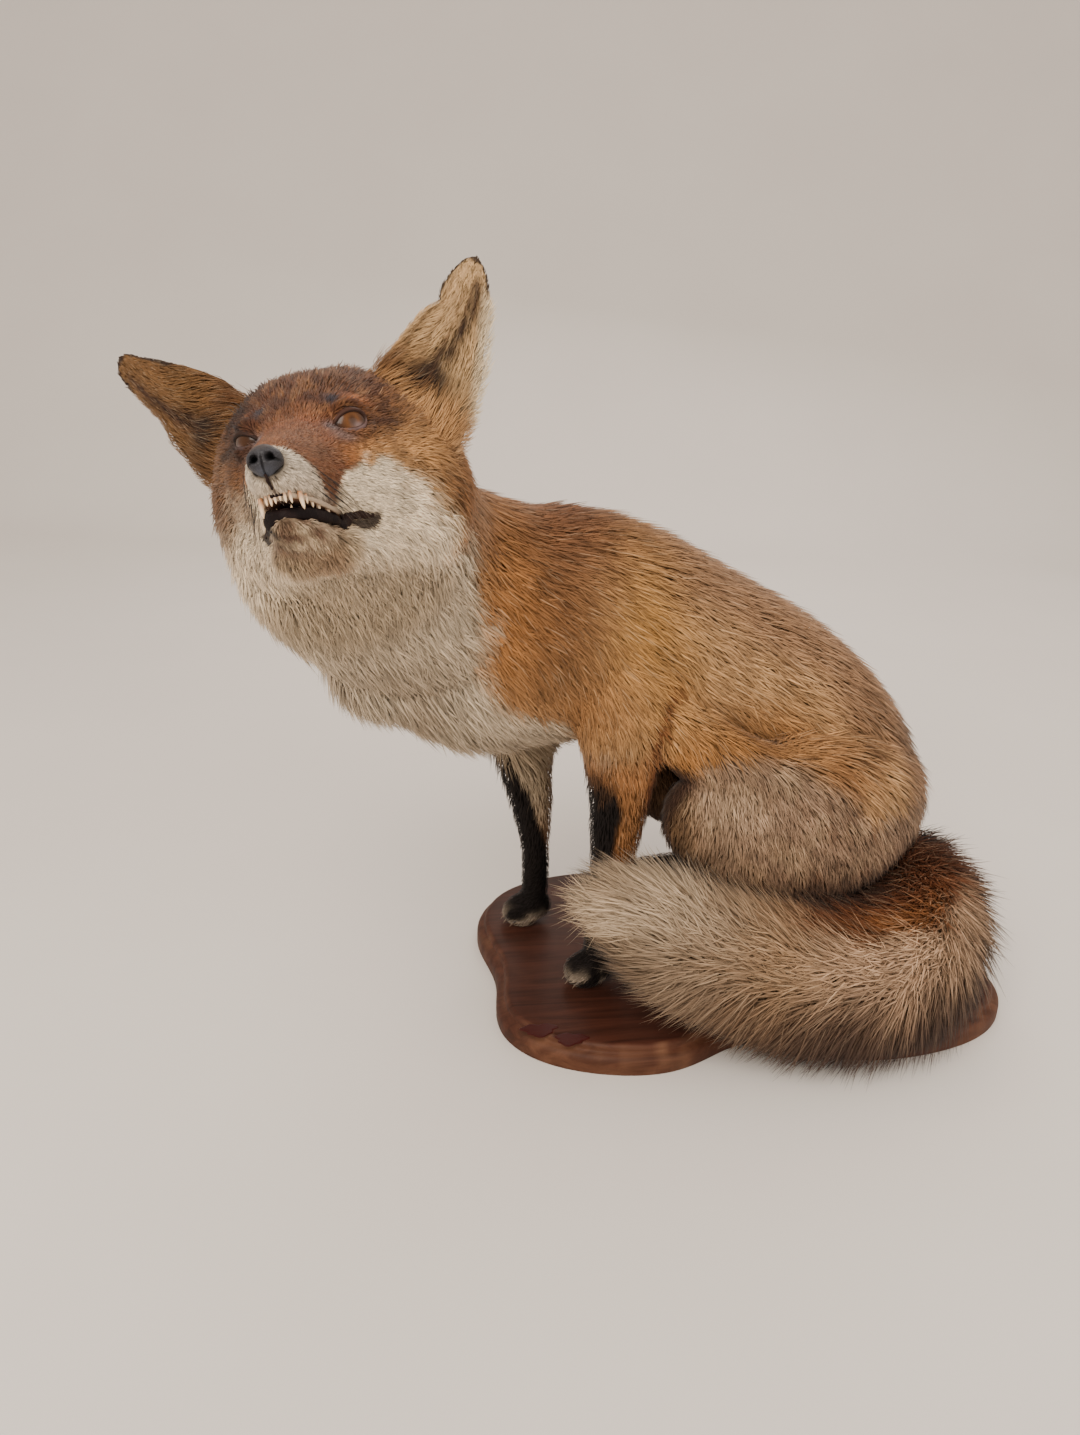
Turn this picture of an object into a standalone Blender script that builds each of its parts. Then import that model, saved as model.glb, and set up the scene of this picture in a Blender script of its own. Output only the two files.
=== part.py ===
"""A red fox specimen sitting on its varnished wooden base, as still solids.

Lengths in the tables are centimetres, and CM turns them into metres. Three frames are used:
- base: origin on the floor under the middle of the base, X along its long side, -Y its front;
- fox: on the base's top between the forefeet, x toward the rump, -y the fox's left, z up;
- head: between the eyes, x toward the nose, y the fox's left, z the crown.
Every solid goes out to the tips of the coat.
"""
import math

import bmesh
import bpy
import numpy as np
from mathutils import Matrix, Vector

CM = 0.01
GAP = 0.0003

# The wooden base
BASE_LENGTH = 41.6
BASE_WIDTH = 28.0
BASE_THICKNESS = 2.1
BASE_CORNER_POWER = 3.4
FRONT_SCALLOP = (-1.5, 5.0, 3.2)
END_SCALLOP = (-1.5, 4.6, 1.2)
BASE_POINTS = 54
BASE_EDGE = ((0.0, 0.0), (0.0, 0.9), (0.2, 1.3), (0.6, 1.55), (0.7, 1.9), (0.9, 2.1))

# Where the fox sits on the base, and how the head is held
FOX_TURN = math.radians(10.0)
FOX_PLACE = (-14.5, 0.0, BASE_THICKNESS)
HEAD_PLACE = (-20.3, -17.1, 42.6)
HEAD_YAW = math.radians(249.0)
HEAD_LIFT = math.radians(15.3)
HEAD_TILT = math.radians(12.8)

# Flesh and coat, as tubes: x, y, z of the middle, half width, half height
TRUNK = (
    (-13.2, -0.4, 27.4, 4.6, 5.6),
    (-8.0, 0.0, 27.4, 6.8, 8.4),
    (-1.5, 0.0, 27.5, 7.3, 8.6),
    (4.0, 0.0, 26.6, 7.4, 8.0),
    (10.0, 0.0, 24.4, 7.3, 7.0),
    (16.0, 0.0, 21.1, 7.6, 7.0),
    (21.5, 0.0, 16.6, 8.0, 6.8),
    (24.8, 0.0, 11.4, 7.4, 6.2),
    (26.3, 0.0, 6.4, 6.2, 5.0),
    (26.4, 0.0, 3.6, 4.8, 4.4),
)
NECK = (
    (-3.0, 0.0, 28.4, 6.6, 7.4),
    (-8.5, -0.6, 30.2, 6.8, 7.5),
    (-12.8, -2.4, 32.2, 7.0, 7.5),
    (-15.8, -5.4, 35.2, 7.2, 7.8),
    (-17.4, -8.8, 37.4, 7.2, 7.2),
    (-18.2, -11.4, 38.4, 6.6, 5.8),
)
FORELEG_LEFT = (
    (2.0, -3.6, 27.5, 3.0, 4.8),
    (2.4, -4.6, 22.5, 2.9, 3.6),
    (2.7, -4.9, 18.5, 2.4, 2.7),
    (2.6, -4.9, 14.5, 2.0, 2.3),
    (2.3, -4.9, 10.5, 1.7, 1.85),
    (1.9, -4.9, 6.5, 1.5, 1.5),
    (1.7, -4.9, 3.2, 1.5, 1.5),
)
FORELEG_RIGHT = (
    (-1.2, 3.8, 27.5, 3.0, 4.8),
    (-1.6, 4.6, 20.5, 2.8, 3.2),
    (-1.4, 4.9, 15.5, 2.1, 2.3),
    (-0.8, 4.9, 11.0, 1.7, 1.85),
    (-0.4, 4.9, 7.0, 1.4, 1.4),
    (-0.3, 4.9, 3.2, 1.4, 1.35),
)
# A hind leg for the left side, y is mirrored for the right
THIGH = (
    (24.6, -4.4, 12.6, 4.4, 5.8),
    (21.0, -6.2, 12.6, 4.9, 7.2),
    (16.0, -7.2, 12.8, 5.0, 7.4),
    (11.2, -7.6, 13.8, 4.4, 6.4),
    (8.0, -7.6, 15.0, 3.2, 4.4),
)
SHANK = (
    (9.6, -7.6, 12.6, 2.9, 3.4),
    (14.6, -7.9, 8.0, 2.4, 2.8),
    (19.6, -8.0, 4.4, 1.9, 2.2),
    (22.2, -8.0, 2.4, 1.7, 1.7),
)
HIND_FOOT = (
    (23.0, -8.0, 1.9, 1.4, 1.6),
    (17.0, -7.8, 1.6, 1.4, 1.4),
    (11.6, -7.7, 1.5, 1.7, 1.4),
    (8.4, -7.7, 1.3, 1.9, 1.2),
)
# A forefoot from wrist to toes, x counted from the leg's own foot, y and z from the leg's line
FOREFOOT = (
    (0.3, 0.0, 1.6, 1.25, 1.3),
    (-0.8, 0.0, 1.45, 1.5, 1.35),
    (-1.7, 0.0, 1.15, 1.6, 1.15),
)
TAIL = (
    (27.6, 1.4, 5.0, 3.0, 2.8),
    (29.4, -3.0, 5.0, 4.2, 3.9),
    (28.2, -8.2, 4.4, 5.0, 4.9),
    (24.0, -12.4, 3.5, 5.6, 5.1),
    (18.0, -13.8, 3.3, 5.9, 5.0),
    (11.8, -13.4, 4.4, 5.4, 5.1),
    (6.4, -12.6, 6.4, 5.0, 5.0),
    (2.8, -12.0, 8.6, 5.0, 4.9),
    (0.8, -11.6, 9.9, 4.2, 4.1),
)
# Lengths of the tail from its tip: name, a point of the cut, and the way along the tail there
TAIL_CUTS = (
    ("tail_tip", (7.0, -12.8, 5.2), (-0.9, 0.15, 0.4)),
    ("tail_middle", (24.0, -12.6, 4.0), (-0.92, -0.38, -0.1)),
)
TAIL_REACH = 12.0
TAIL_CLEARANCE = 0.0012

# The neck is cut from the trunk on a plane through this point, square to this direction
NECK_CUT = (-10.5, -1.0, 31.5)
NECK_AHEAD = (-0.72, -0.25, 0.62)

# The head: x, half width, top, bottom
HEAD = (
    (7.9, 0.78, -2.1, -3.65),
    (7.2, 1.12, -1.7, -4.0),
    (6.2, 1.36, -1.3, -4.15),
    (4.8, 1.6, -0.8, -4.35),
    (3.2, 2.0, -0.15, -4.7),
    (1.7, 2.8, 0.8, -5.4),
    (0.3, 3.5, 1.8, -6.2),
    (-1.5, 4.7, 3.0, -6.8),
    (-3.8, 6.2, 3.9, -7.3),
    (-6.2, 7.1, 4.1, -7.7),
    (-8.6, 7.0, 3.6, -7.8),
    (-11.0, 6.2, 2.6, -7.4),
)
JAW = (
    (6.9, 0.55, -4.7, -5.3),
    (6.3, 0.95, -4.55, -5.6),
    (4.8, 1.3, -4.62, -5.95),
    (3.0, 1.75, -4.75, -6.35),
    (1.0, 2.3, -4.8, -6.6),
    (-2.0, 2.6, -4.8, -6.6),
)
NOSE_MIDDLE = (7.95, 0.0, -2.65)
NOSE_SIZE = (0.62, 0.77, 0.77)
EYE_MIDDLE = (0.25, 2.05, -0.2)
EYE_RADIUS = 1.12
EYE_FACETS = {"rings": 8, "points": 14}

# Ears: middle of the root, then tip, in the head's frame, for the left and the right ear
EARS = {
    "left": ((-5.6, 5.2, 2.0), (-7.7, 9.4, 8.9)),
    "right": ((-5.6, -5.0, 1.7), (-7.4, -10.65, 7.35)),
}
# How wide an ear is at each share of its length, toward the crown and toward its outer edge
EAR_EDGES = {
    "left": (
        (-0.14, 2.5, 3.0),
        (0.08, 2.4, 2.97),
        (0.28, 1.95, 2.7),
        (0.44, 1.6, 2.27),
        (0.53, 1.2, 2.05),
        (0.59, 0.8, 1.92),
        (0.72, 0.95, 1.6),
        (0.83, 0.85, 1.25),
        (0.90, 0.66, 0.95),
        (0.957, 0.42, 0.58),
        (0.99, 0.15, 0.18),
    ),
    "right": (
        (-0.14, 2.0, 2.8),
        (0.06, 2.15, 2.73),
        (0.22, 2.3, 2.3),
        (0.32, 2.15, 2.05),
        (0.41, 2.0, 1.6),
        (0.50, 1.8, 1.25),
        (0.69, 1.25, 1.05),
        (0.84, 0.75, 0.95),
        (0.95, 0.5, 0.68),
        (0.99, 0.18, 0.22),
    ),
}
EAR_CUP = 1.9
EAR_WRAP = math.radians(75.0)
EAR_FACING = (0.94, 0.25, 0.0)
EAR_THICKNESS = 0.5

# Teeth: x, y, half width and length of one side's upper row, then the lower row
UPPER_TEETH = (
    (7.2, 0.15, 0.13, 0.3),
    (7.1, 0.42, 0.14, 0.32),
    (6.75, 0.82, 0.22, 0.68),
    (5.7, 1.0, 0.18, 0.3),
    (4.8, 1.14, 0.24, 0.4),
    (3.7, 1.38, 0.28, 0.4),
)
LOWER_TEETH = (
    (6.6, 0.2, 0.14, 0.25),
    (6.2, 0.58, 0.18, 0.3),
)
TOOTH_ROOT = 0.75

# Which material a node takes, by a word in its name
LOOK_OF = (
    ("board", "wood"),
    ("paw", "black"),
    ("foot", "black"),
    ("eye", "glass"),
    ("nose", "leather"),
    ("tail_tip", "pale"),
    ("jaw", "pale"),
)

RING_POINTS = 24
VOXEL = 0.0036
FLESH_SHARE = 0.026


def clear_scene():
    for item in list(bpy.data.objects):
        bpy.data.objects.remove(item, do_unlink=True)


def material(name, colour, roughness):
    made = bpy.data.materials.new(name)
    made.use_nodes = True
    shader = made.node_tree.nodes["Principled BSDF"]
    shader.inputs["Base Color"].default_value = (*colour, 1.0)
    shader.inputs["Roughness"].default_value = roughness
    shader.inputs["Metallic"].default_value = 0.0
    made.diffuse_color = (*colour, 1.0)
    return made


def frames():
    """The fox's and the head's frames, as matrices that take their centimetres to metres."""
    fox = Matrix.Translation(Vector(FOX_PLACE) * CM) @ Matrix.Rotation(FOX_TURN, 4, "Z")
    head = fox @ Matrix.Translation(Vector(HEAD_PLACE) * CM) @ Matrix.Rotation(HEAD_YAW, 4, "Z")
    head = head @ Matrix.Rotation(-HEAD_LIFT, 4, "Y") @ Matrix.Rotation(HEAD_TILT, 4, "X")
    return fox @ Matrix.Scale(CM, 4), head @ Matrix.Scale(CM, 4)


FOX, HEAD_FRAME = frames()
NECK_FRAME = (FOX @ Matrix.Translation(NECK_CUT)
              @ Vector(NECK_AHEAD).to_track_quat("X", "Z").to_matrix().to_4x4())


# ---------------------------------------------------------------- building blocks

def add_object(name, points, faces, frame=FOX):
    """A mesh object from points in a frame's centimetres."""
    mesh = bpy.data.meshes.new(name)
    mesh.from_pydata([frame @ Vector(point) for point in points], [], faces)
    shape = bmesh.new()
    shape.from_mesh(mesh)
    bmesh.ops.recalc_face_normals(shape, faces=shape.faces)
    shape.to_mesh(mesh)
    shape.free()
    made = bpy.data.objects.new(name, mesh)
    bpy.context.scene.collection.objects.link(made)
    return made


def bake(item):
    """Replaces an object's mesh with what its modifiers make of it."""
    graph = bpy.context.evaluated_depsgraph_get()
    mesh = bpy.data.meshes.new_from_object(item.evaluated_get(graph))
    item.modifiers.clear()
    item.data = mesh
    return item


def copy_of(item, name):
    made = bpy.data.objects.new(name, item.data.copy())
    bpy.context.scene.collection.objects.link(made)
    return made


def discard(*items):
    for item in items:
        bpy.data.objects.remove(item, do_unlink=True)


def combine(item, other, operation):
    change = item.modifiers.new(operation.lower(), "BOOLEAN")
    change.operation = operation
    change.solver = "EXACT"
    change.use_self = operation == "DIFFERENCE"
    change.object = other
    return bake(item)


def grown(item, distance=GAP):
    """A copy swollen along its normals, which cuts a neighbour back by that distance."""
    made = copy_of(item, item.name + "_grown")
    swell = made.modifiers.new("swell", "DISPLACE")
    swell.mid_level = 0.0
    swell.strength = distance
    return bake(made)


def between(rows, steps):
    """Rows of numbers with a smooth curve run through them, steps to each gap."""
    rows = np.array(rows, float)
    ends = np.vstack((2 * rows[0] - rows[1], rows, 2 * rows[-1] - rows[-2]))
    t = np.linspace(0.0, 1.0, steps, endpoint=False)[:, None]
    parts = []
    for a, b, c, d in zip(ends, ends[1:], ends[2:], ends[3:]):
        bend = (2 * a - 5 * b + 4 * c - d) * t**2 + (3 * b - a - 3 * c + d) * t**3
        parts.append(b + 0.5 * ((c - a) * t + bend))
    return np.vstack(parts + [rows[-1:]])


def skin_rings(name, rings, frame):
    """A closed body over a stack of equal rings, with its two ends filled."""
    count = rings.shape[1]
    points = rings.reshape(-1, 3).tolist()
    faces = []
    for row in range(len(rings) - 1):
        for i in range(count):
            j = (i + 1) % count
            low = row * count
            faces.append((low + i, low + j, low + count + j, low + count + i))
    faces.append(tuple(range(count)))
    faces.append(tuple(range(len(points) - count, len(points))))
    return add_object(name, points, faces, frame)


def tube(name, rows, steps=3, sideways=(0.0, 1.0, 0.0), frame=FOX, points=RING_POINTS):
    """A round-ended tube: each row is the middle, the half width and the half height."""
    rows = between(rows, steps)
    middles = rows[:, :3]
    along = np.gradient(middles, axis=0)
    along /= np.linalg.norm(along, axis=1)[:, None]
    side = np.array(sideways)
    rings = []
    turn = np.linspace(0.0, 2 * math.pi, points, endpoint=False)[:, None]
    last = len(rows) - 1
    for k, (middle, ahead) in enumerate(zip(middles, along)):
        side = side - ahead * side.dot(ahead)
        side /= np.linalg.norm(side)
        up = np.cross(ahead, side)
        ring = np.cos(turn) * side * rows[k, 3] + np.sin(turn) * up * rows[k, 4]
        if k == last:
            rings.append(middle + ring)
        if k in (0, last):
            reach = ahead * min(rows[k, 3:5]) * (1 if k else -1)
            dome = [middle + ring * math.cos(a) + reach * math.sin(a) for a in (0.5, 0.95, 1.35)]
            rings.extend(dome if k else dome[::-1])
        if k != last:
            rings.append(middle + ring)
    return skin_rings(name, np.array(rings), frame)


def box(name, low, high, frame=FOX, extra=0.0):
    """A box between two corners, extra centimetres larger on every side."""
    middle = (np.array(low) + np.array(high)) / 2
    half = (np.array(high) - np.array(low)) / 2 + extra
    signs = np.array([(x, y, z) for x in (-1, 1) for y in (-1, 1) for z in (-1, 1)])
    faces = ((0, 1, 3, 2), (4, 6, 7, 5), (0, 4, 5, 1), (2, 3, 7, 6), (0, 2, 6, 4), (1, 5, 7, 3))
    return add_object(name, (middle + signs * half).tolist(), faces, frame)


def egg(name, middle, radii, frame=FOX, extra=0.0, rings=10, points=18):
    """An ellipsoid, extra centimetres larger in every radius."""
    radii = np.array(radii) + extra
    rise = np.linspace(-0.5 * math.pi, 0.5 * math.pi, rings + 1)[1:-1]
    turn = np.linspace(0.0, 2 * math.pi, points, endpoint=False)
    rise, turn = np.meshgrid(rise, turn, indexing="ij")
    ball = np.stack((np.sin(rise), np.cos(rise) * np.cos(turn), np.cos(rise) * np.sin(turn)), axis=-1)
    return skin_rings(name, np.array(middle) + ball * radii, frame)


# ---------------------------------------------------------------- the wooden base

def base_outline(inset):
    """A rounded board whose four sides dip inward in the middle."""
    turn = np.linspace(0.0, 2 * math.pi, BASE_POINTS, endpoint=False)
    power = 2.0 / BASE_CORNER_POWER
    x = np.sign(np.cos(turn)) * np.abs(np.cos(turn)) ** power * BASE_LENGTH / 2
    y = np.sign(np.sin(turn)) * np.abs(np.sin(turn)) ** power * BASE_WIDTH / 2
    middle, width, depth = FRONT_SCALLOP
    dip_y = depth * np.exp(-((x - middle) / width) ** 2)
    middle, width, depth = END_SCALLOP
    dip_x = depth * np.exp(-((y - middle) / width) ** 2)
    shaped = np.column_stack((x - np.sign(x) * dip_x, y - np.sign(y) * dip_y))
    along = np.roll(shaped, -1, axis=0) - np.roll(shaped, 1, axis=0)
    inward = np.column_stack((-along[:, 1], along[:, 0]))
    inward /= np.linalg.norm(inward, axis=1)[:, None]
    return shaped + inward * inset


def base_board():
    rings = []
    for inset, height in BASE_EDGE:
        rings.append(np.column_stack((base_outline(inset), np.full(BASE_POINTS, height))))
    return skin_rings("base_board", np.array(rings), Matrix.Scale(CM, 4))


# ---------------------------------------------------------------- flesh

def section_rings(rows, steps, power=2.3, points=RING_POINTS):
    """Upright sections along the head: x, half width, top and bottom of each."""
    rows = between(rows, steps)
    turn = np.linspace(0.0, 2 * math.pi, points, endpoint=False)
    wide = np.sign(np.cos(turn)) * np.abs(np.cos(turn)) ** (2 / power)
    high = np.sign(np.sin(turn)) * np.abs(np.sin(turn)) ** (2 / power)
    rings = []
    for x, half, top, bottom in rows:
        middle = (top + bottom) / 2
        rings.append(np.column_stack((np.full(points, x), wide * half, middle + high * (top - bottom) / 2)))
    return np.array(rings)


def mirrored(rows):
    return tuple((x, -y, *rest) for x, y, *rest in rows)


def forefoot_rows(leg):
    x, y = leg[-1][:2]
    return tuple((x + ahead, y + aside, z, wide, high) for ahead, aside, z, wide, high in FOREFOOT)


def flesh():
    """Trunk, neck, head and legs run together into one smooth body."""
    shapes = [
        tube("trunk_tube", TRUNK),
        tube("neck_tube", NECK),
        skin_rings("head_shape", section_rings(HEAD, 3), HEAD_FRAME),
    ]
    for leg in (FORELEG_LEFT, FORELEG_RIGHT):
        shapes.append(tube("foreleg_tube", leg))
        shapes.append(tube("forefoot_tube", forefoot_rows(leg)))
    for rows in (THIGH, SHANK, HIND_FOOT):
        shapes.append(tube("hind_tube", rows))
        shapes.append(tube("hind_tube", mirrored(rows)))
    whole = bmesh.new()
    for shape in shapes:
        whole.from_mesh(shape.data)
    body = bpy.data.objects.new("flesh", bpy.data.meshes.new("flesh"))
    whole.to_mesh(body.data)
    whole.free()
    bpy.context.scene.collection.objects.link(body)
    discard(*shapes)
    merge = body.modifiers.new("merge", "REMESH")
    merge.mode = "VOXEL"
    merge.voxel_size = VOXEL
    bake(body)
    mark_body(body)
    settle = body.modifiers.new("settle", "SMOOTH")
    settle.factor = 0.6
    settle.iterations = 14
    settle.vertex_group = "body"
    soften = body.modifiers.new("soften", "SMOOTH")
    soften.factor = 0.5
    soften.iterations = 2
    thin = body.modifiers.new("thin", "DECIMATE")
    thin.ratio = FLESH_SHARE
    return bake(body)


def mark_body(body):
    """Groups the coat away from the face and feet, which may be smoothed the most."""
    to_head = HEAD_FRAME.inverted()
    to_fox = FOX.inverted()
    group = body.vertex_groups.new(name="body")
    for vertex in body.data.vertices:
        face = (to_head @ vertex.co).x
        height = (to_fox @ vertex.co).z
        weight = min(1.0, max(0.0, -face / 5.0), max(0.45, (height - 3.0) / 4.0))
        group.add([vertex.index], 0.3 + 0.7 * weight, "REPLACE")


# ---------------------------------------------------------------- parting the flesh

def regions():
    """Boxes and eggs that cut the named nodes off the flesh, in this order."""
    parts = [
        ("head", box, ((-6.6, -16.0, -16.0), (16.0, 16.0, 12.0)), HEAD_FRAME),
        ("neck", box, ((0.0, -20.0, -20.0), (30.0, 20.0, 20.0)), NECK_FRAME),
    ]
    for side, sign, rear in (("left", -1, 5.2), ("right", 1, 3.9)):
        fore = sorted((0.4 * sign, 8.6 * sign))
        hind = sorted((5.2 * sign, 13.0 * sign))
        thigh = (16.0, 9.4 * sign, 12.4)
        parts.append(("hind_foot_" + side, box, ((5.0, hind[0], -2.0), (24.6, hind[1], 4.6)), FOX))
        parts.append(("hind_leg_" + side, egg, (thigh, (12.8, 5.6, 9.6)), FOX))
        parts.append(("forepaw_" + side, box, ((-8.0, fore[0], -2.0), (8.0, fore[1], 4.6)), FOX))
        parts.append(("foreleg_" + side, box, ((-8.0, fore[0], 0.0), (rear, fore[1], 18.2)), FOX))
    return parts


def part_flesh(body):
    """Cuts the flesh into its nodes, with the gap between neighbours, and leaves the trunk."""
    nodes = {}
    for name, shape, size, frame in regions():
        cutter = shape("cutter", *size, frame=frame)
        wider = shape("cutter", *size, frame=frame, extra=GAP / CM)
        nodes[name] = combine(copy_of(body, name), cutter, "INTERSECT")
        combine(body, wider, "DIFFERENCE")
        discard(cutter, wider)
    body.name = "trunk"
    nodes["trunk"] = body
    return nodes


# ---------------------------------------------------------------- the head's own pieces

def mirror_point(point, sign):
    return (point[0], sign * point[1], point[2])


def tooth(x, y, z, half, length):
    """A five-sided peg that narrows to a blunt tip, rooted in the gum."""
    rings = []
    way = math.copysign(TOOTH_ROOT, length)
    for rise, size in ((-way, 1.0), (0.3 * length, 1.0), (length, 0.3)):
        ring = [(x + half * size * math.cos(a), y + half * size * math.sin(a), z + rise)
                for a in np.arange(5) * math.tau / 5]
        rings.append(ring)
    return skin_rings("tooth", np.array(rings), HEAD_FRAME)


def add_teeth(item, rows, gum, way):
    """Joins both sides' teeth to the node they grow from."""
    for x, y, half, length in rows:
        for sign in (-1, 1):
            peg = tooth(x, sign * y, gum(x), half, way * length)
            combine(item, peg, "UNION")
            discard(peg)


def lip_line(rows, column):
    xs, zs = zip(*sorted((row[0], row[column]) for row in rows))
    return lambda x: float(np.interp(x, xs, zs))


def ear(side):
    """A cupped blade that narrows from its root to its tip."""
    sign = 1 if side == "left" else -1
    root, tip = (Vector(point) for point in EARS[side])
    along = tip - root
    facing = Vector(mirror_point(EAR_FACING, sign))
    across = along.cross(facing).normalized()
    back = across.cross(along).normalized()
    shares, crown_widths, edge_widths = zip(*EAR_EDGES[side])
    points = []
    rises = np.linspace(-0.12, 0.99, 9)
    turns = np.linspace(-1.0, 1.0, 7)
    for rise in rises:
        share = min(1.0, max(0.0, 1.0 - rise))
        to_crown, to_edge = (np.interp(rise, shares, widths) for widths in (crown_widths, edge_widths))
        wrap = EAR_WRAP * (0.45 + 0.55 * share)
        for turn in turns:
            angle = turn * wrap
            across_share = sign * math.sin(angle) / math.sin(wrap)
            half = to_edge * (1 + across_share) / 2 + to_crown * (1 - across_share) / 2
            aside = half * sign * across_share
            deep = EAR_CUP * share**0.8 * (math.cos(angle) - 0.4)
            points.append(root + along * rise + across * aside + back * deep)
    faces = []
    for row in range(len(rises) - 1):
        for i in range(len(turns) - 1):
            low = row * len(turns) + i
            faces.append((low, low + 1, low + len(turns) + 1, low + len(turns)))
    blade = add_object("ear_" + side, points, faces, HEAD_FRAME)
    thicken = blade.modifiers.new("thicken", "SOLIDIFY")
    thicken.thickness = EAR_THICKNESS * CM
    thicken.offset = 0.0
    thicken.use_rim = True
    return bake(blade)


def furnish_head(nodes):
    """Eyes in their sockets, nose, ears, lower jaw and teeth."""
    head = nodes["head"]
    for side, sign in (("left", 1), ("right", -1)):
        middle = mirror_point(EYE_MIDDLE, sign)
        radii = (EYE_RADIUS,) * 3
        nodes["eye_" + side] = egg("eye_" + side, middle, radii, HEAD_FRAME, **EYE_FACETS)
        socket = egg("socket", middle, radii, HEAD_FRAME, extra=GAP / CM, **EYE_FACETS)
        combine(head, socket, "DIFFERENCE")
        discard(socket)
    add_teeth(head, UPPER_TEETH, lip_line(HEAD, 3), -1)
    swollen = grown(head, GAP * 1.2)
    jaw = skin_rings("lower_jaw", section_rings(JAW, 1, 2.2, 14), HEAD_FRAME)
    nose = egg("nose", NOSE_MIDDLE, NOSE_SIZE, HEAD_FRAME, rings=8, points=12)
    for item in (jaw, nose, ear("left"), ear("right")):
        nodes[item.name] = combine(item, swollen, "DIFFERENCE")
    discard(swollen)
    add_teeth(jaw, LOWER_TEETH, lip_line(JAW, 2), 1)


# ---------------------------------------------------------------- tail

def tail(obstacles):
    """The brush, cut back where it lies on the board and haunch, in three lengths."""
    whole = tube("tail", TAIL, steps=2, points=18)
    for obstacle in obstacles:
        wider = grown(obstacle, TAIL_CLEARANCE)
        combine(whole, wider, "DIFFERENCE")
        discard(wider)
    nodes = {}
    for name, middle, ahead in TAIL_CUTS:
        ahead = Vector(ahead).normalized()
        frame = FOX @ Matrix.Translation(middle) @ ahead.to_track_quat("X", "Z").to_matrix().to_4x4()
        size = ((0.0, -TAIL_REACH, -TAIL_REACH), (2 * TAIL_REACH, TAIL_REACH, TAIL_REACH))
        cutter = box("cutter", *size, frame=frame)
        wider = box("cutter", *size, frame=frame, extra=GAP / CM)
        nodes[name] = combine(copy_of(whole, name), cutter, "INTERSECT")
        combine(whole, wider, "DIFFERENCE")
        discard(cutter, wider)
    whole.name = "tail_base"
    nodes["tail_base"] = whole
    return nodes


# ---------------------------------------------------------------- the model

def main():
    clear_scene()
    board = base_board()
    body = flesh()
    wider = grown(board)
    combine(body, wider, "DIFFERENCE")
    discard(wider)
    nodes = tail((body, board))
    nodes.update(part_flesh(body))
    furnish_head(nodes)
    nodes["base_board"] = board
    looks = {
        "wood": material("varnished wood", (0.12, 0.045, 0.03), 0.35),
        "coat": material("red coat", (0.42, 0.22, 0.1), 0.9),
        "pale": material("pale coat", (0.6, 0.52, 0.42), 0.9),
        "black": material("black coat", (0.03, 0.027, 0.025), 0.8),
        "glass": material("glass eye", (0.35, 0.12, 0.03), 0.08),
        "leather": material("nose leather", (0.04, 0.045, 0.055), 0.45),
    }
    for name, item in nodes.items():
        look = looks[next((key for word, key in LOOK_OF if word in name), "coat")]
        item.data.materials.clear()
        item.data.materials.append(look)
        item.data.shade_smooth()
        item.data.set_sharp_from_angle(angle=math.radians(40))


main()
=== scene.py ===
"""The finish of a red fox specimen that sits on its varnished wooden base.

Tables are in centimetres, in three frames; the model is in metres:
- base: origin on the floor under the middle of the base, X along its long side, -Y its front;
- fox: on the base's top between the forefeet, x toward the rump, -y the fox's left, z up;
- head: between the eyes, x toward the nose, y the fox's left, z the crown.
The skin is one mesh that lies inside the solids by the coat's depth. The coat is locks of mesh
hair over it, and skin and coat take their colours from one function, coat_colours.
"""
import math

import bmesh
import bpy
import numpy as np
from mathutils import Matrix, Vector


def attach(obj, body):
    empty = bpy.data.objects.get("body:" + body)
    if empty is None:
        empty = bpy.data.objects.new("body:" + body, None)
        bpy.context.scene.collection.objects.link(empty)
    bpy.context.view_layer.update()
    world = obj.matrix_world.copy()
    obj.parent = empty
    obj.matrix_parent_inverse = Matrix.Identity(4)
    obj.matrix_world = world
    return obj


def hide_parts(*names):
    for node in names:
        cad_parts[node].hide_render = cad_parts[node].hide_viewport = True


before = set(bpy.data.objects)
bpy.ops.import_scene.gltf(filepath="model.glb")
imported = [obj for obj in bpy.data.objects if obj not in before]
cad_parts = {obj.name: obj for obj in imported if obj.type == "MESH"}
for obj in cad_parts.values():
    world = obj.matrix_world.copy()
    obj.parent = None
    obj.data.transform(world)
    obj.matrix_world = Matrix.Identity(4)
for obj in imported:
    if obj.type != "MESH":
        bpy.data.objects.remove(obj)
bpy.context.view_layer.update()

CM = 0.01
MM = 0.001
TURN = 2 * math.pi

# ---------------------------------------------------------------- frames

BASE_THICKNESS = 2.1
FOX_TURN = math.radians(10)
FOX_PLACE = (-14.5, 0, BASE_THICKNESS)
HEAD_PLACE = (-20.3, -17.1, 42.6)
HEAD_YAW = math.radians(249)
HEAD_LIFT = math.radians(15.3)
HEAD_TILT = math.radians(12.8)


def frame_of(*steps):
    """A frame as a matrix from its centimetres to the model's metres."""
    whole = Matrix.Identity(4)
    for step in steps:
        whole = whole @ step
    return np.array(whole @ Matrix.Scale(CM, 4))


FOX_STEPS = (Matrix.Translation(Vector(FOX_PLACE) * CM), Matrix.Rotation(FOX_TURN, 4, "Z"))
HEAD_STEPS = FOX_STEPS + (
    Matrix.Translation(Vector(HEAD_PLACE) * CM),
    Matrix.Rotation(HEAD_YAW, 4, "Z"),
    Matrix.Rotation(-HEAD_LIFT, 4, "Y"),
    Matrix.Rotation(HEAD_TILT, 4, "X"),
)
FOX = frame_of(*FOX_STEPS)
HEAD = frame_of(*HEAD_STEPS)


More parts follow.
